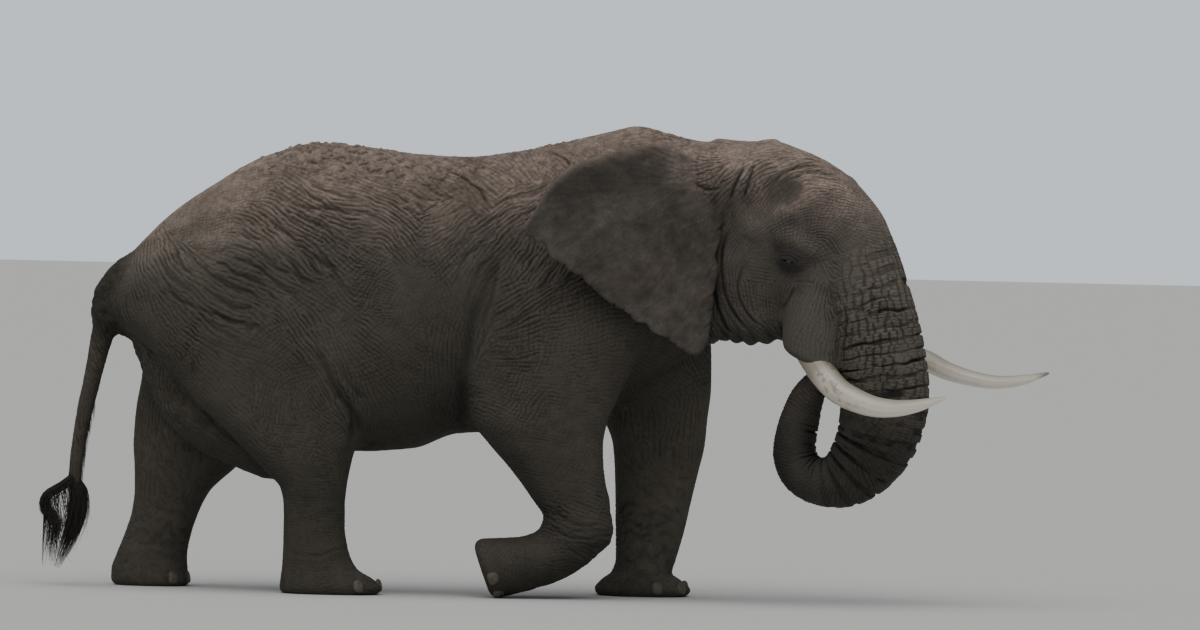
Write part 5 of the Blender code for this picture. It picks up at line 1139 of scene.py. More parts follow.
    # lids: an opening, and creases round it
    open_up = 0.0095 * (1 - (s / 0.050) ** 2)
    open_dn = 0.0080 * (1 - (s / 0.050) ** 2)
    o = np.maximum(h - open_up, -h - open_dn)
    hole = step01(0.0015, -0.0025, o) * (np.abs(s) < 0.054) * (inward < 0) * (r < 0.12)
    theta = np.arctan2(h, s)
    oval = np.sqrt((s / 1.75) ** 2 + h * h)
    crease_up = np.exp(-((oval - 0.040) / 0.0042) ** 2) * step01(-0.15, 0.35, np.sin(theta))
    crease_up2 = np.exp(-((oval - 0.056) / 0.0055) ** 2) * step01(0.1, 0.6, np.sin(theta))
    crease_dn = np.exp(-((oval - 0.038) / 0.0042) ** 2) * step01(0.05, -0.4, np.sin(theta))
    crease_dn2 = np.exp(-((oval - 0.053) / 0.0055) ** 2) * step01(0.0, -0.6, np.sin(theta))
    crease_dn3 = np.exp(-((oval - 0.071) / 0.0065) ** 2) * step01(0.0, -0.7, np.sin(theta))
    lidlines = (0.0055 * crease_up + 0.0045 * crease_up2 + 0.0035 * crease_dn + 0.0035 * crease_dn2 + 0.003 * crease_dn3) * (inward < 0.05)
    fan_eye = creased(np.sin(theta * 19 + 3 * noise(P / 0.05, 44)), 0.35) * step01(0.058, 0.075, rho) * step01(0.14, 0.09, rho) * (inward < 0.05)
    move = np.where(inward < 0.06, move - lidlines - 0.0022 * fan_eye, move)
    cavity = np.maximum(cavity, np.clip(lidlines / 0.006, 0, 1.3))
    rim = 0.4 * np.exp(-((o - 0.004) / 0.004) ** 2) * (np.abs(s) < 0.06) * (inward < 0) * (r < 0.12)
    move += 0.003 * rim
    return np.column_stack([move * (1 - sole), cavity, back * (0.5 + 0.5 * area), hole, mud, on_ear, on_trunk, anal, in_hd, temple, sheath, by_eye]).astype(np.float32)


TAIL_ROWS = smooth_path(np.array([(x, 0.0, z, r) for x, z, r in TAIL]), 20)


def field_of(P):
    return spread(flesh, P)


cell = 0.0192
V, Q = surface(field_of, (-3.2, -1.02, -0.03), (3.0, 1.02, 3.3), cell)
for _ in range(2):
    V = spread(lambda A: settle(flesh, A, 1, 0.012), V)
T = triangles(V, Q)
clock("mesh %d triangles" % len(T))
C = V[T].mean(1)
F = np.cross(V[T[:, 1]] - V[T[:, 0]], V[T[:, 2]] - V[T[:, 0]])
F /= np.linalg.norm(F, axis=1)[:, None] + 1e-12
ear_c = np.minimum(ear(C.astype(np.float32), -1.0, 0.0, 1.0, 0.018, 0.014), ear(C.astype(np.float32), 1.0, 0.32, 0.92, 0.018, 0.014))
tucked = (ear_c < 0.012) & (F[:, 1] * np.sign(C[:, 1]) < -0.3)  # backs of the ears, soles and the insides of the legs need less
tucked |= (F[:, 2] < -0.8) & ((C[:, 2] < 0.1) | (np.abs(C[:, 1]) < 0.5) & (C[:, 2] > 0.9) & (C[:, 2] < 1.3))
tucked |= (C[:, 2] < 1.1) & (C[:, 1] > 0.05) & (C[:, 1] < 0.40) & (F[:, 1] < -0.55)
V, T = refine(V, T, ~tucked)
V = project(flesh, V, T)
clock("finer %d triangles" % len(T))
C = V[T].mean(1)
q = in_head(C)
_, share = flat_limb(C.astype(np.float32), TRUNK_ROWS, TRUNK_FLAT, PLANE[1], pad=0.02)
headish = (q[:, 0] > -0.42) & (C[:, 0] > 1.25) & (C[:, 2] > 0.55)
ear_c = np.minimum(ear(C.astype(np.float32), -1.0, 0.0, 1.0, 0.018, 0.014), ear(C.astype(np.float32), 1.0, 0.32, 0.92, 0.018, 0.014))
headish &= ~((ear_c < 0.02) & (q[:, 0] < -0.30))
headish &= in_head(C, mirror=False)[:, 1] < 0.16
V, T = refine(V, T, headish)
V = project(flesh, V, T, 0.004)
C = V[T].mean(1)
s, h, r, inward = about_eye(in_head(C))
V, T = refine(V, T, (np.hypot(s / 1.3, h) < 0.095) & (np.abs(inward) < 0.10))
V = project(flesh, V, T, 0.002)
C = V[T].mean(1)
s, h, r, inward = about_eye(in_head(C))
V, T = refine(V, T, (np.hypot(s / 1.4, h) < 0.05) & (np.abs(inward) < 0.10))
clock("finest %d triangles" % len(T))
N = normals(V, T)
R = spread(relief, V, N)
clock("relief")
move, cavity, dusty, hole, mud, on_ear, on_trunk, anal, in_hd, temple, sheath, by_eye = R.T
V = V + N * move[:, None]
# the opening between the lids goes in behind the front of the eyeball
for sd in (-1, 1):
    eye = from_head(EYE_AT[0], sd * EYE_AT[1], EYE_AT[2])
    out = V - eye
    rr = np.linalg.norm(out, axis=1)
    pick = (hole > 0) & (rr < 0.12)
    goal = np.minimum(rr, EYE_RADIUS - 0.010)
    V[pick] = eye + out[pick] * ((rr + (goal - rr) * hole)[pick] / rr[pick])[:, None]
V[:, 2] = np.maximum(V[:, 2], 0.0)
N2 = normals(V, T)
clock("moved")


# ---------------------------------------------------------------- colour of each point of the hide
up = N2[:, 2]
height = V[:, 2]
n1 = spread(lambda A: fractal(A / np.float32(0.30), 3, 90), V.astype(np.float32))
n2 = spread(lambda A: fractal(A / np.float32(0.07), 3, 91), V.astype(np.float32))
n3 = spread(lambda A: noise(A / np.float32(0.016), 92), V.astype(np.float32))
DARK = np.array([0.041, 0.0375, 0.030])      # damp hide on the legs and the trunk's curl, and painted shade on the belly and chest
HIDE = np.array([0.068, 0.060, 0.048])
FACE = np.array([0.094, 0.083, 0.069])
DUST = np.array([0.235, 0.178, 0.148])      # dry red-brown dust on the back and crown
EARED = np.array([0.092, 0.080, 0.068])
n4 = spread(lambda A: fractal(A / np.float32(0.024), 2, 93), V.astype(np.float32))
dust = step01(1.95, 2.95, height + 0.16 * n1) * (0.22 + 0.78 * step01(-0.05, 0.70, up))
dust = np.clip(dust * (0.95 + 0.30 * n2 + 0.30 * n4), 0, 1.1)
dust = np.maximum(dust, 0.50 * in_hd * step01(2.35, 2.75, height + 0.1 * n1) * (0.85 + 0.4 * n2))
own_x = V[:, 0] - 0.32 * (V[:, 1] > 0)
rooted = 1 - step01(0.78, 1.30, own_x + 0.08 * n2 + 0.45 * (height - 2.85)) * step01(2.42, 2.74, height)  # the ear passes into the head's skin at its root
upper = np.interp(own_x, [0.10, 0.20, 0.35, 0.55, 0.75, 0.92, 1.10, 1.30], [2.46, 2.66, 2.84, 2.95, 3.00, 3.015, 3.01, 2.98])
rolled = step01(0.085, 0.020, upper - height + 0.03 * n2) * on_ear  # the rim above, paler with dust and a painted highlight
dust = np.maximum(dust, 0.62 * step01(-0.9, -1.7, V[:, 0]) * step01(2.02, 2.62, height + 0.16 * n1) * (0.8 + 0.5 * n2))
dust = np.maximum(dust, 1.05 * step01(-1.35, -1.9, V[:, 0]) * step01(2.40, 2.78, height + 0.12 * n1) * (0.9 + 0.3 * n2))
dust *= 1 - on_ear * rooted
low = step01(1.35, 0.55, height + 0.15 * n1)
curl = on_trunk * step01(1.35, 0.95, height)
# painted shade: hide that faces down is darkened towards DARK
belly_shade = step01(-0.1, -0.65, up)
# painted shade on the chest between the forelegs
chest_shade = step01(0.35, 0.65, V[:, 0]) * step01(1.95, 1.65, height) * step01(0.20, 0.10, np.abs(V[:, 1])) * (1 - in_hd)
dark = np.clip(0.38 * low + 0.85 * curl + 0.6 * belly_shade + 0.8 * chest_shade, 0, 1)
color = HIDE + (FACE - HIDE) * (in_hd * (1 - 0.6 * curl))[:, None]
color = color + (DARK - color) * dark[:, None]
color = color + (DUST - color) * (0.80 * dust)[:, None]
rump = step01(-1.50, -2.00, V[:, 0]) * step01(-2.62, -2.40, V[:, 0]) * step01(2.00, 2.36, height + 0.12 * n1) * (1 - 0.6 * step01(2.5, 2.75, height))
color *= (1 + 0.40 * rump)[:, None]
# the ear: even, a little greyer, with painted shade under its rolled rim, a painted highlight with dust along the rim,
# and a red-tan patch
patch = np.exp(-(((V[:, 0] - 0.92) / 0.16) ** 2 + ((V[:, 2] - 2.18) / 0.13) ** 2)) * on_ear
# painted shade: a darker band under the rolled rim
eared = EARED + (np.array([0.054, 0.047, 0.039]) - EARED) * (step01(2.62, 2.90, height + 0.08 * n2) * step01(3.02, 2.96, height))[:, None]
# painted highlight along the ear's top edge
eared = eared + (np.array([0.135, 0.108, 0.090]) - eared) * step01(2.97, 3.02, height)[:, None]
eared = eared + (np.array([0.125, 0.088, 0.062]) - eared) * (0.6 * patch * (0.6 + 1.2 * n2))[:, None]
eared = eared + (np.array([0.150, 0.118, 0.098]) - eared) * (0.85 * rolled)[:, None]
rosy = np.clip(fractal(V.astype(np.float32) / np.float32(0.11), 2, 95) - 0.05, 0, 1) * step01(0.45, 0.75, own_x)
eared = eared + (np.array([0.150, 0.112, 0.092]) - eared) * (0.55 * rosy)[:, None]
below = np.exp(-((upper - height - 0.20 + 0.04 * n2) / 0.10) ** 2) * step01(0.15, 0.45, own_x)  # shade under the rolled rim
eared *= (0.92 * (1 + 0.20 * n1 + 0.17 * n2 + 0.10 * n4) * (1 - 0.26 * below))[:, None]
color = color + (eared - color) * (on_ear * rooted)[:, None]
color *= (1 + 0.15 * n1 + 0.14 * n2 + 0.07 * n3 + 0.06 * n4 + np.clip(dust, 0, 1) * (0.14 * n3 + 0.22 * n4))[:, None]
# painted shade in the crevice where the ear's front edge meets the head
crevice = np.exp(-((own_x - np.interp(height, [2.0, 2.3, 2.65], [1.40, 1.385, 1.37])) / 0.030) ** 2) * step01(1.85, 2.05, height) * step01(2.74, 2.62, height) * (1 - on_ear)
color *= (1 - 0.50 * crevice)[:, None]
# painted light: the far legs, which the body shades, are made lighter, the foreleg more than the hind leg
color *= (1 + step01(0.05, 0.15, V[:, 1]) * step01(1.75, 1.45, height) * np.where(V[:, 0] > 0.4, 0.40, 0.14))[:, None]
# painted shade behind the shoulder's fold, wider towards the rear
away = V[:, 0] - np.interp(height, [1.0, 1.5, 2.0, 2.5], [-0.27, -0.29, -0.19, 0.05])
behind = np.exp(-(away / np.where(away < 0, 0.26, 0.06)) ** 2) * step01(2.65, 2.0, height) * (np.abs(V[:, 1]) > 0.2)
color *= (1 - 0.30 * behind)[:, None]
# tops of the plates are paler with dust and wear, and painted shade darkens grooves and hollows
shade = np.clip(1.24 - 0.80 * cavity, 0.28, 1.24)
color *= shade[:, None]
color = color + (np.array([0.21, 0.165, 0.138]) - color) * (0.40 * mud)[:, None]
color *= (1 - 0.40 * anal)[:, None]
grey = np.array([0.108, 0.098, 0.083])
color = color + (grey - color) * (0.35 * sheath)[:, None]
# painted shade in the hollow of the temple
color *= (1 - 0.33 * temple)[:, None]
color *= (1 + 0.22 * on_trunk * step01(1.30, 1.50, height) * step01(0.45, 0.10, cavity) - 0.12 * on_trunk * step01(2.15, 2.35, height))[:, None]  # worn tops of the trunk's plates
color *= (1 - 0.20 * on_trunk * step01(2.15, 2.0, V[:, 0]) * step01(1.6, 1.45, height))[:, None]
# round the eye a painted shadow of the lids and brow makes the skin darker and greyer
q = in_head(V)
s, h, r, inward = about_eye(q)
ring_dark = np.exp(-(np.hypot(s / 1.5, h - 0.016) / 0.088) ** 2) * (inward < 0.06)
color = color + (np.array([0.021, 0.0205, 0.022]) - color) * (0.90 * ring_dark)[:, None]
# painted shade inside the opening between the lids
color *= (1 - 0.75 * hole)[:, None]
color = np.clip(color, 0.012, 0.6)
wet = np.clip(0.5 * curl + 0.8 * hole, 0, 1)
skin = mesh_from("skin", V, T, {"hide": color, "wet": wet})
clock("skin in Blender")


def principled(name, rgb, rough):
    mat = bpy.data.materials.new(name)
    mat.use_nodes = True
    b = mat.node_tree.nodes["Principled BSDF"]
    b.inputs["Base Color"].default_value = (*rgb, 1.0)
    b.inputs["Roughness"].default_value = rough
    return mat


def link(tree, a, b):
    tree.links.new(a, b)


hide = principled("hide", (0.1, 0.085, 0.07), 0.82)
nt = hide.node_tree
bsdf = nt.nodes["Principled BSDF"]
col = nt.nodes.new("ShaderNodeAttribute")
col.attribute_name = "hide"
coord = nt.nodes.new("ShaderNodeTexCoord")


def texture(kind, **values):
    node = nt.nodes.new(kind)
    for k, v in values.items():
        if k in node.inputs:
            node.inputs[k].default_value = v
        else:
            setattr(node, k, v)
    if "Vector" in node.inputs:
        link(nt, coord.outputs["Object"], node.inputs["Vector"])
    return node


def maths(op, a, b, clamp=False):
    node = nt.nodes.new("ShaderNodeMath")
    node.operation = op
    node.use_clamp = clamp
    for sock, v in zip(node.inputs, (a, b)):
        if isinstance(v, (int, float)):
            sock.default_value = v
        else:
            link(nt, v, sock)
    return node.outputs[0]


speck = texture("ShaderNodeTexNoise", Scale=95.0, Detail=5.0, Roughness=0.7)
grain = texture("ShaderNodeTexVoronoi", Scale=85.0)
grain.feature = "DISTANCE_TO_EDGE"
fine = texture("ShaderNodeTexVoronoi", Scale=170.0)
fine.feature = "DISTANCE_TO_EDGE"
amount = maths("ADD", maths("MULTIPLY", speck.outputs["Fac"], 0.55), 0.72)
edge = maths("MINIMUM", maths("MULTIPLY", grain.outputs["Distance"], 9.0), 1.0)
amount = maths("MULTIPLY", amount, maths("ADD", maths("MULTIPLY", edge, 0.22), 0.80))
mix = nt.nodes.new("ShaderNodeMix")
mix.data_type = "RGBA"
mix.blend_type = "MULTIPLY"
mix.inputs["Factor"].default_value = 1.0
link(nt, col.outputs["Color"], mix.inputs["A"])
combine = nt.nodes.new("ShaderNodeCombineColor")
for k in range(3):
    link(nt, amount, combine.inputs[k])
link(nt, combine.outputs[0], mix.inputs["B"])
link(nt, mix.outputs["Result"], bsdf.inputs["Base Color"])
wetness = nt.nodes.new("ShaderNodeAttribute")
wetness.attribute_name = "wet"
rough = maths("SUBTRACT", 0.86, maths("MULTIPLY", wetness.outputs["Fac"], 0.34))
link(nt, rough, bsdf.inputs["Roughness"])
bsdf.inputs["Specular IOR Level"].default_value = 0.28
tall = maths("ADD", maths("MULTIPLY", maths("MINIMUM", maths("MULTIPLY", grain.outputs["Distance"], 6.0), 1.0), 0.6),
             maths("MULTIPLY", maths("MINIMUM", maths("MULTIPLY", fine.outputs["Distance"], 6.0), 1.0), 0.3))
tall = maths("ADD", tall, maths("MULTIPLY", speck.outputs["Fac"], 0.5))
bump = nt.nodes.new("ShaderNodeBump")
bump.inputs["Strength"].default_value = 0.55
bump.inputs["Distance"].default_value = 0.0035
link(nt, tall, bump.inputs["Height"])
link(nt, bump.outputs[0], bsdf.inputs["Normal"])
skin.data.materials.append(hide)
FLESH = ("ear_left ear_right forefoot_left forefoot_right foreleg_left foreleg_right head hindfoot_left hindfoot_right hindleg_left "
         "hindleg_right neck tail_base tail_end torso_front torso_middle torso_rear trunk_curl trunk_lower trunk_tip trunk_upper").split()
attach(skin, "root")
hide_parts(*FLESH)

# ---------------------------------------------------------------- eyes, tusks, nails, tail hair
def coloured(name, attribute, rough, spec=0.5, coat=0.0):
    mat = principled(name, (0.5, 0.5, 0.5), rough)
    t = mat.node_tree
    a = t.nodes.new("ShaderNodeAttribute")
    a.attribute_name = attribute
    b = t.nodes["Principled BSDF"]
    t.links.new(a.outputs["Color"], b.inputs["Base Color"])
    b.inputs["Specular IOR Level"].default_value = spec
    b.inputs["Coat Weight"].default_value = coat
    b.inputs["Coat Roughness"].default_value = 0.03
    return mat


def grid_faces(rows, cols, closed=True):
    """Triangles of a grid of rows by cols points, wrapped round the columns."""
    i, j = np.meshgrid(np.arange(rows - 1), np.arange(cols if closed else cols - 1), indexing="ij")
    k = (j + 1) % cols
    a, b, c, d = i * cols + j, i * cols + k, (i + 1) * cols + k, (i + 1) * cols + j
    return np.concatenate([np.stack([a, b, c], -1).reshape(-1, 3), np.stack([a, c, d], -1).reshape(-1, 3)])


def facing_out(V, T):
    vol = np.einsum("ij,ij->i", V[T[:, 0]], np.cross(V[T[:, 1]], V[T[:, 2]])).sum()
    return T if vol > 0 else T[:, ::-1]


eye_mat = coloured("eye", "look", 0.08, 0.5, 1.0)
for node, sd in (("eye_right", -1), ("eye_left", 1)):
    c = from_head(EYE_AT[0], sd * EYE_AT[1], EYE_AT[2])
    gaze = sd * HEAD_AXES[1] + 0.16 * HEAD_AXES[0] - 0.10 * HEAD_AXES[2]
    gaze /= np.linalg.norm(gaze)
    u = np.cross(gaze, (0, 0, 1.0))
    u /= np.linalg.norm(u)
    v = np.cross(u, gaze)
    th = np.linspace(0.0, np.pi, 72)[:, None]
    ph = np.linspace(0, 2 * np.pi, 96, endpoint=False)[None]
    bulge = 1 + 0.07 * np.exp(-(th / 0.42) ** 4)
    rad = (EYE_RADIUS - 0.0015) * bulge / 1.03
    pts = c + (rad * np.cos(th) * np.ones_like(ph))[..., None] * gaze + (rad * np.sin(th) * np.cos(ph))[..., None] * u + (rad * np.sin(th) * np.sin(ph))[..., None] * v
    E = pts.reshape(-1, 3)
    F = facing_out(E - c, grid_faces(72, 96))
    t = np.repeat(th, 96, 1).reshape(-1)
    streak = noise(np.column_stack([np.cos(np.tile(ph[0], 72)) * 9, np.sin(np.tile(ph[0], 72)) * 9, t * 3]).astype(np.float32), 5)
    pupil = step01(0.20, 0.16, t)
    limbus = step01(0.44, 0.52, t)
    look = np.array([0.085, 0.040, 0.016]) * (1 + 0.35 * streak)[:, None]
    look = look + (np.array([0.030, 0.018, 0.012]) - look) * step01(0.34, 0.44, t)[:, None]
    look = look + (np.array([0.045, 0.030, 0.024]) - look) * limbus[:, None]
    look = look * (1 - 0.93 * pupil)[:, None]
    ob = mesh_from("eyeball_" + node.split("_")[1], E, F, {"look": look})
    ob.data.materials.append(eye_mat)
    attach(ob, "root")
    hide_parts(node)

ivory = coloured("ivory", "look", 0.34, 0.45, 0.12)
it = ivory.node_tree
ib = it.nodes["Principled BSDF"]
tc = it.nodes.new("ShaderNodeTexCoord")
ns = it.nodes.new("ShaderNodeTexNoise")
ns.inputs["Scale"].default_value = 60.0
ns.inputs["Detail"].default_value = 4.0
bp = it.nodes.new("ShaderNodeBump")
bp.inputs["Strength"].default_value = 0.25
bp.inputs["Distance"].default_value = 0.002
it.links.new(tc.outputs["Object"], ns.inputs["Vector"])
it.links.new(ns.outputs["Fac"], bp.inputs["Height"])
it.links.new(bp.outputs[0], ib.inputs["Normal"])
for node, rows, far in (("tusk_right", TUSK_RIGHT, 0.0), ("tusk_left", TUSK_LEFT, 1.0)):
    path = smooth_path(rows, 240)
    n, m = len(path), 72
    tip = np.linspace(0, 1, n)
    c, r = path[:, :3], path[:, 3].copy()
    end = path[-1, :3] - path[-2, :3]
    t = np.gradient(c, axis=0)
    t /= np.linalg.norm(t, axis=1)[:, None]
    b = np.array([0.0, 1.0, 0.0]) - t[:, 1:2] * t
    b /= np.linalg.norm(b, axis=1)[:, None]
    k = np.cross(b, t)
    ang = np.linspace(0, 2 * np.pi, m, endpoint=False)
    ca, sa = np.cos(ang)[None], np.sin(ang)[None]
    long_ = np.r_[0, np.cumsum(np.linalg.norm(np.diff(c, axis=0), axis=1))]
    G = np.stack([ca * 3.2 + 0 * long_[:, None], sa * 3.2 + 0 * long_[:, None], 0 * ca + long_[:, None] * 1.6], -1).reshape(-1, 3).astype(np.float32)
    flute = noise(G, 11) * 0.0014 + noise(G * np.float32(2.7), 12) * 0.0008
    rr = (r[:, None] * np.sqrt(np.clip(1 - (np.maximum(tip - 0.985, 0) / 0.015) ** 2, 0.0004, 1))[:, None]).repeat(m, 1) + flute.reshape(n, m) * np.minimum(1, r / 0.03)[:, None] - 0.0012
    rr = np.maximum(rr, 0.0002)
    E = (c[:, None] + rr[..., None] * (ca[..., None] * k[:, None] + sa[..., None] * b[:, None])).reshape(-1, 3)
    F = grid_faces(n, m)
    base, top = len(E), len(E) + 1
    E = np.vstack([E, c[0], c[-1]])
    j = np.arange(m)
    F = np.concatenate([F, np.stack([np.full(m, base), (j + 1) % m, j], 1), np.stack([np.full(m, top), (n - 1) * m + j, (n - 1) * m + (j + 1) % m], 1)])
    F = facing_out(E - E.mean(0), F)
    ts = np.r_[np.repeat(tip, m), 0, 1]
    under = np.r_[np.tile(-ca[0], n), 0, 0]
    G = np.vstack([G, G[:1], G[-1:]])
    grain = noise(G * np.float32(2.2) * np.array([1, 1, 0.35], np.float32), 13)
    fine_g = noise(G * np.float32(7.0) * np.array([1, 1, 0.14], np.float32), 15)
    blot = fractal(E.astype(np.float32) / np.float32(0.05), 3, 14)
    stain = step01(0.70, 0.12, ts + 0.12 * grain + 0.09 * blot)
    look = np.array([0.86, 0.80, 0.69]) * np.ones((len(E), 1))
    look = look + (np.array([0.50, 0.42, 0.34]) - look) * (0.50 * stain)[:, None]
    crack = creased(fine_g, 0.10) * step01(0.75, 0.2, ts) * (0.5 + 0.5 * blot)
    look = look + (np.array([0.20, 0.13, 0.085]) - look) * (0.75 * np.clip(crack, 0, 1))[:, None]
    look = look + (np.array([0.20, 0.13, 0.08]) - look) * (0.7 * step01(0.08, 0.38, blot) * stain)[:, None]
    look = look + (np.array([0.16, 0.12, 0.09]) - look) * (0.55 * step01(0.27, 0.16, ts + 0.03 * blot))[:, None]
    look = look + (np.array([0.10, 0.07, 0.05]) - look) * (far * 0.75 * step01(0.93, 0.985, ts + 0.02 * grain))[:, None]
    look = look + (np.array([0.52, 0.46, 0.30]) - look) * (0.35 * step01(0.2, 0.9, under) * step01(0.2, 0.5, ts))[:, None]
    # painted shade darkens the side where under is high by up to half, and painted light brightens the opposite side a
    # little
    look *= ((1 + 0.05 * blot + 0.04 * grain) * (1 - 0.50 * step01(-0.05, 0.85, under)) * (1 + 0.06 * step01(0.1, -0.6, under)))[:, None]
    ob = mesh_from(node + "_ivory", E, F, {"look": np.clip(look, 0.01, 0.9)})
    ob.data.materials.append(ivory)
    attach(ob, "root")
    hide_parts(node)

# nails: rounded plates set round the front of each foot
nail_mat = coloured("nail", "look", 0.55, 0.35)


def nail(centre, out, upw, width, height):
    out = out / np.linalg.norm(out)
    upw = upw - out * (upw @ out)
    upw /= np.linalg.norm(upw)
    side = np.cross(upw, out)
    th = np.linspace(0, np.pi, 26)[:, None]
    ph = np.linspace(0, 2 * np.pi, 40, endpoint=False)[None]
    sup = lambda x, p: np.sign(x) * np.abs(x) ** p
    a = sup(np.sin(th), 0.7) * sup(np.cos(ph), 0.75) * width / 2
    b = sup(np.sin(th), 0.7) * sup(np.sin(ph), 0.75) * height / 2
    d = np.cos(th) * np.ones_like(ph) * 0.019
    d = d - (a / (width / 2)) ** 2 * 0.012  # curved round the toe
    E = (centre + a[..., None] * side + b[..., None] * upw + d[..., None] * out).reshape(-1, 3)
    T = grid_faces(26, 40)
    T = facing_out(E - E.mean(0), T)
    b = b.reshape(-1)
    mix = fractal(E.astype(np.float32) / np.float32(0.02), 2, 21)
    look = np.array([0.112, 0.094, 0.077]) * (1 + 0.25 * mix - 0.30 * step01(0, height / 2, b))[:, None]
    return E, T, look


def on_skin(start, toward):
    """Where a line meets the flesh."""
    toward = toward / np.linalg.norm(toward)
    p = start.astype(float)
    for _ in range(60):
        d = float(body(p[None].astype(np.float32), detail=True)[0])
        if d < 0.0005:
            break
        p = p + toward * max(d * 0.7, 0.0004)
    return p


nails = {"forefoot_left": [], "forefoot_right": [], "hindfoot_left": [], "hindfoot_right": []}
for foot, (cx, cy), angles, w in (("forefoot_left", (0.94, 0.37), (-62, -24, 14, 52), 0.105), ("hindfoot_left", (-2.36, 0.36), (-48, -8, 32), 0.10),
                                  ("hindfoot_right", (-1.14, -0.36), (-40, 2, 44), 0.10)):
    for k, a in enumerate(angles):
        a = math.radians(a)
        out = np.array([math.cos(a), math.sin(a), 0.0])
        p = on_skin(np.array([cx, cy, 0.062]) + out * 0.5, -out)
        nails[foot].append(nail(p - out * 0.010, out + np.array([0, 0, 0.22]), np.array([0, 0, 1.0]), w * (1.0 if k in (1, 2) else 0.88), 0.088))
sole_up = np.array([SOLE_HIGH[0] - SOLE_LOW[0], 0, SOLE_HIGH[1] - SOLE_LOW[1]])
sole_up /= np.linalg.norm(sole_up)
sole_out = np.array([-sole_up[2], 0, sole_up[0]])
centre = np.array([(SOLE_HIGH[0] + SOLE_LOW[0]) / 2, -0.40, (SOLE_HIGH[1] + SOLE_LOW[1]) / 2])
for k, a in enumerate((-68, -28, 12, 52)):
    a = math.radians(a)
    out = -sole_up * math.cos(a) - np.array([0, 1.0, 0]) * -math.sin(a)
    p = on_skin(centre - sole_out * 0.065 + out * 0.42, -out)
    E = nail(p - out * 0.010, out - sole_out * 0.2, -sole_out, 0.10, 0.085)
    E[0][:, 2] = np.maximum(E[0][:, 2], 0.001)
    nails["forefoot_right"].append(E)
for foot, list_ in nails.items():
    at = 0
    E, T2, L = [], [], []
    for e, t, l in list_:
        e[:, 2] = np.maximum(e[:, 2], 0.001)
        E.append(e)
        T2.append(t + at)
        L.append(l)
        at += len(e)
    ob = mesh_from("nails_" + foot, np.vstack(E), np.vstack(T2), {"look": np.clip(np.vstack(L), 0.01, 1)})
    ob.data.materials.append(nail_mat)
    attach(ob, "root")

# hair: flat tapering bristles along the two locks, and short ones up the last of the tail
rng = np.random.default_rng(5)


def bristles(lines, radii, sides=3):
    """Joined tapering tubes; lines is a list of (k, 3) arrays."""
    Vs, Ts, at = [], [], 0
    for pts, r in zip(lines, radii):
        k = len(pts)
        t = np.gradient(pts, axis=0)
        t /= np.linalg.norm(t, axis=1)[:, None] + 1e-9
        b = np.cross(t, (0.3, 1.0, 0.2))
        b /= np.linalg.norm(b, axis=1)[:, None] + 1e-9
        c = np.cross(t, b)
        w = r * (1 - np.linspace(0, 1, k) ** 2.2 * 0.88)
        ang = np.linspace(0, 2 * np.pi, sides, endpoint=False)
        ring = pts[:, None] + w[:, None, None] * (np.cos(ang)[None, :, None] * b[:, None] + np.sin(ang)[None, :, None] * c[:, None])
        Vs.append(ring.reshape(-1, 3))
        f = grid_faces(k, sides)
        Ts.append(f + at)
        cap = np.array([[0, 2, 1], [(k - 1) * sides, (k - 1) * sides + 1, (k - 1) * sides + 2]]) + at
        Ts.append(cap)
        at += k * sides
    return np.vstack(Vs), np.vstack(Ts)


lines, radii, roots = [], [], []
for rows, count, y0 in ((TUFT_BACK, 760, 0.0), (TUFT_SIDE, 300, -0.03)):
    path = smooth_path(np.array([(x, y0, z, r) for x, z, r in rows]), 40)
    t = np.gradient(path[:, :3], axis=0)
    t /= np.linalg.norm(t, axis=1)[:, None]
    b = np.cross(t, (0, 1.0, 0))
    b /= np.linalg.norm(b, axis=1)[:, None]
    for _ in range(count):
        s0 = rng.uniform(0.0, 0.42) ** 1.3
        s1 = min(1.0, s0 + rng.uniform(0.45, 0.75))
        ang, rad = rng.uniform(0, 2 * np.pi), math.sqrt(rng.uniform(0.02, 1))
        drift = rng.normal(0, 0.34 if count > 500 else 0.9, 2)
        k = 11
        s = np.linspace(s0, s1, k)
        i = s * 39
        at = np.stack([np.interp(i, np.arange(40), path[:, c]) for c in range(3)], 1)
        rr = np.interp(i, np.arange(40), path[:, 3]) * 0.92
        bb = np.stack([np.interp(i, np.arange(40), b[:, c]) for c in range(3)], 1)
        u = rad * math.cos(ang) + drift[0] * np.linspace(0, 1, k)
        v = rad * math.sin(ang) + drift[1] * np.linspace(0, 1, k)
        lim = np.maximum(1, np.hypot(u, v) / np.linspace(1.0, 1.9 if count > 500 else 2.7, k))
        pts = at + (rr * u / lim)[:, None] * bb + (rr * v / lim * 0.8)[:, None] * np.array([0, 1.0, 0])
        lines.append(pts)
        radii.append(rng.uniform(0.0013, 0.0026))
for _ in range(190):  # loose hairs that leave the side lock early and hang down
    k = rng.integers(0, len(TUFT_SIDE) - 3)
    u0 = rng.uniform(0, 1)
    a, b = np.array(TUFT_SIDE[k][:2]), np.array(TUFT_SIDE[k + 1][:2])
    sx, sz = a + (b - a) * u0
    ln = min(rng.uniform(0.18, 0.42), sz - 0.13)
    u = np.linspace(0, 1, 9)
    sway, out_y = rng.normal(0.02, 0.05), rng.normal(0, 0.025)
    px = np.maximum(sx + rng.normal(0, 0.018) + sway * u + rng.uniform(-0.035, 0.035) * np.sin(u * np.pi), -3.072)
    lines.append(np.stack([px, -0.03 + rng.normal(0, 0.014) + out_y * u, sz - ln * u], 1))
    radii.append(rng.uniform(0.0011, 0.0020))
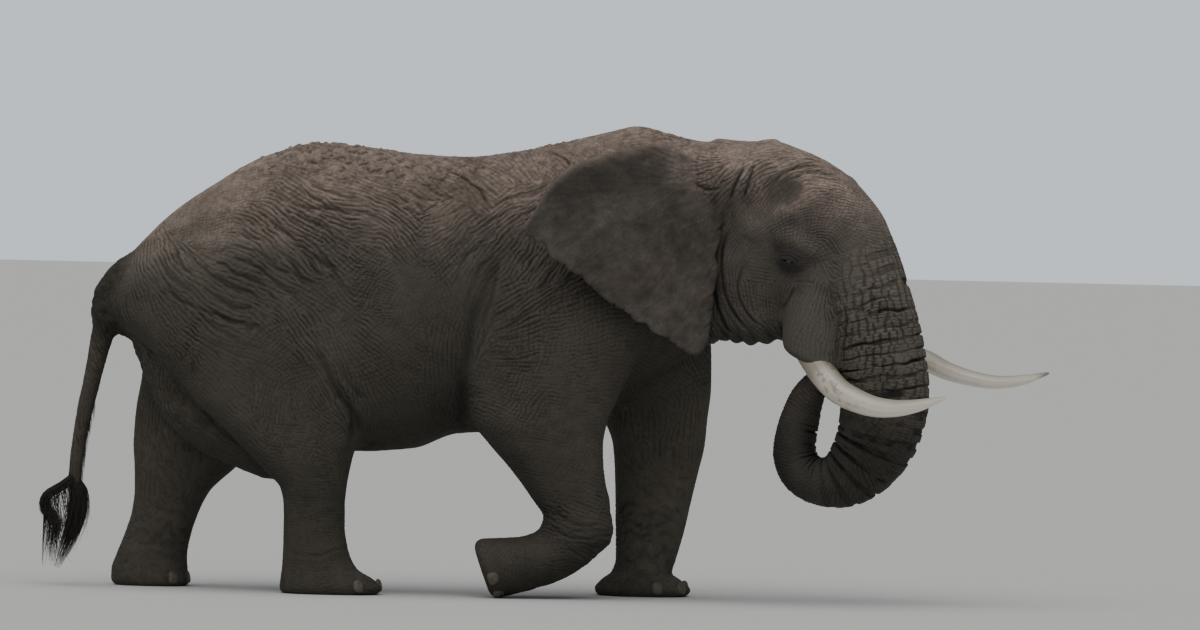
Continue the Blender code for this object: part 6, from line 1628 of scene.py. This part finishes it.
for _ in range(260):  # a short fringe on the tail's front and back edges
    z = rng.uniform(0.74, 1.28)
    i = np.interp(-z, -TAIL_ROWS[:, 2], np.arange(len(TAIL_ROWS)))
    c = np.array([np.interp(i, np.arange(len(TAIL_ROWS)), TAIL_ROWS[:, k]) for k in range(4)])
    sd = rng.choice([-1.0, 1.0])
    y = rng.normal(0, 0.35) * c[3]
    base = np.array([c[0] + sd * c[3] * 0.75, y, z])
    ln = rng.uniform(0.05, 0.11) * (1 + 0.9 * step01(1.0, 0.78, z))
    u = np.linspace(0, 1, 6)[:, None]
    lines.append(base + u * ln * np.array([sd * 0.22, rng.normal(0, 0.08), -1.0]) + u**2 * ln * np.array([-sd * 0.12, 0, -0.1]))
    radii.append(rng.uniform(0.0010, 0.0016))
E, T2 = bristles(lines, radii)
tuft = mesh_from("tail_hair", E, T2, {"look": np.clip(np.array([0.022, 0.018, 0.015]) * (1 + 0.5 * noise(E.astype(np.float32) / np.float32(0.02), 8))[:, None], 0.004, 1)}, smooth=True)
uv = tuft.data.uv_layers.new(name="OFBake")
# each bristle is a small patch at its root's place on the unwrapped tail: around it, and down it
counts = [len(l) * 3 for l in lines]
root_of = np.repeat(np.arange(len(lines)), counts)
first = np.array([l[0] for l in lines])
ru = 0.5 + np.arctan2(first[:, 1], first[:, 0] + 2.87) / (2 * np.pi) * 0.9
rv = np.clip((first[:, 2] - 0.1) / 1.3, 0.02, 0.98)
local = np.concatenate([np.stack([np.tile([0, 0.5, 1.0], len(l)), np.repeat(np.linspace(0, 1, len(l)), 3)], 1) for l in lines])
uvs = np.stack([ru[root_of], rv[root_of]], 1) + (local - 0.5) * 0.003
loops = np.empty(len(tuft.data.loops), np.int32)
tuft.data.loops.foreach_get("vertex_index", loops)
uv.data.foreach_set("uv", uvs[loops].astype(np.float32).reshape(-1))
tuft.data.materials.append(coloured("hair", "look", 0.5, 0.5))
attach(tuft, "root")
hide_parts("tail_tuft")
clock("pieces")


# ---------------------------------------------------------------- stage
floor_mat = principled("floor", (0.56, 0.56, 0.55), 0.9)
bpy.ops.mesh.primitive_plane_add(size=3000, location=(0, 0, -0.0005))
floor = bpy.context.object
floor.name = "floor"
floor.data.materials.append(floor_mat)

world = bpy.data.worlds.new("sky")
bpy.context.scene.world = world
world.use_nodes = True
wt = world.node_tree
fill = wt.nodes["Background"]
fill.inputs["Color"].default_value = (0.88, 0.94, 1.0, 1)
fill.inputs["Strength"].default_value = 0.22
seen = wt.nodes.new("ShaderNodeBackground")  # what stands behind the animal: a pale grey-blue backdrop
seen.inputs["Color"].default_value = (0.72, 0.80, 0.875, 1)
which = wt.nodes.new("ShaderNodeLightPath")
both = wt.nodes.new("ShaderNodeMixShader")
wt.links.new(which.outputs["Is Camera Ray"], both.inputs[0])
wt.links.new(fill.outputs[0], both.inputs[1])
wt.links.new(seen.outputs[0], both.inputs[2])
wt.links.new(both.outputs[0], wt.nodes["World Output"].inputs["Surface"])


sun_data = bpy.data.lights.new("over", "SUN")  # one very broad soft light from overhead, a little to the viewer's side
sun_data.energy, sun_data.angle, sun_data.color = 2.35, math.radians(75), (1.0, 0.985, 0.96)
sun = bpy.data.objects.new("over", sun_data)
bpy.context.scene.collection.objects.link(sun)
sun.rotation_euler = (Vector((0, 0, 0)) - Vector((-0.08, -0.30, 1.0))).to_track_quat("-Z", "Y").to_euler()

cam_data = bpy.data.cameras.new("camera")
cam = bpy.data.objects.new("camera", cam_data)
bpy.context.scene.collection.objects.link(cam)
roll = math.radians(1.27)
right = Vector((math.cos(roll), 0, math.sin(roll)))
up = Vector((-math.sin(roll), 0, math.cos(roll)))
FOCAL, CX, CY = 7450.0, 607.43, 262.03  # in pixels of a picture 1200 wide
aim = Vector((0, 1, 0)) + right * ((600 - CX) / FOCAL) - up * ((315 - CY) / FOCAL)
aim.normalize()
right = aim.cross(up).normalized()
up = right.cross(aim).normalized()
rot = Matrix((right, up, -aim)).transposed()
cam.matrix_world = Matrix.Translation((0.671 - OFFSET[0], -50.0 - OFFSET[1], 2.25)) @ rot.to_4x4()
cam_data.lens = 36.0 * FOCAL / 1200
cam_data.clip_end = 4000
bpy.context.scene.camera = cam

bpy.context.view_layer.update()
clock("done")
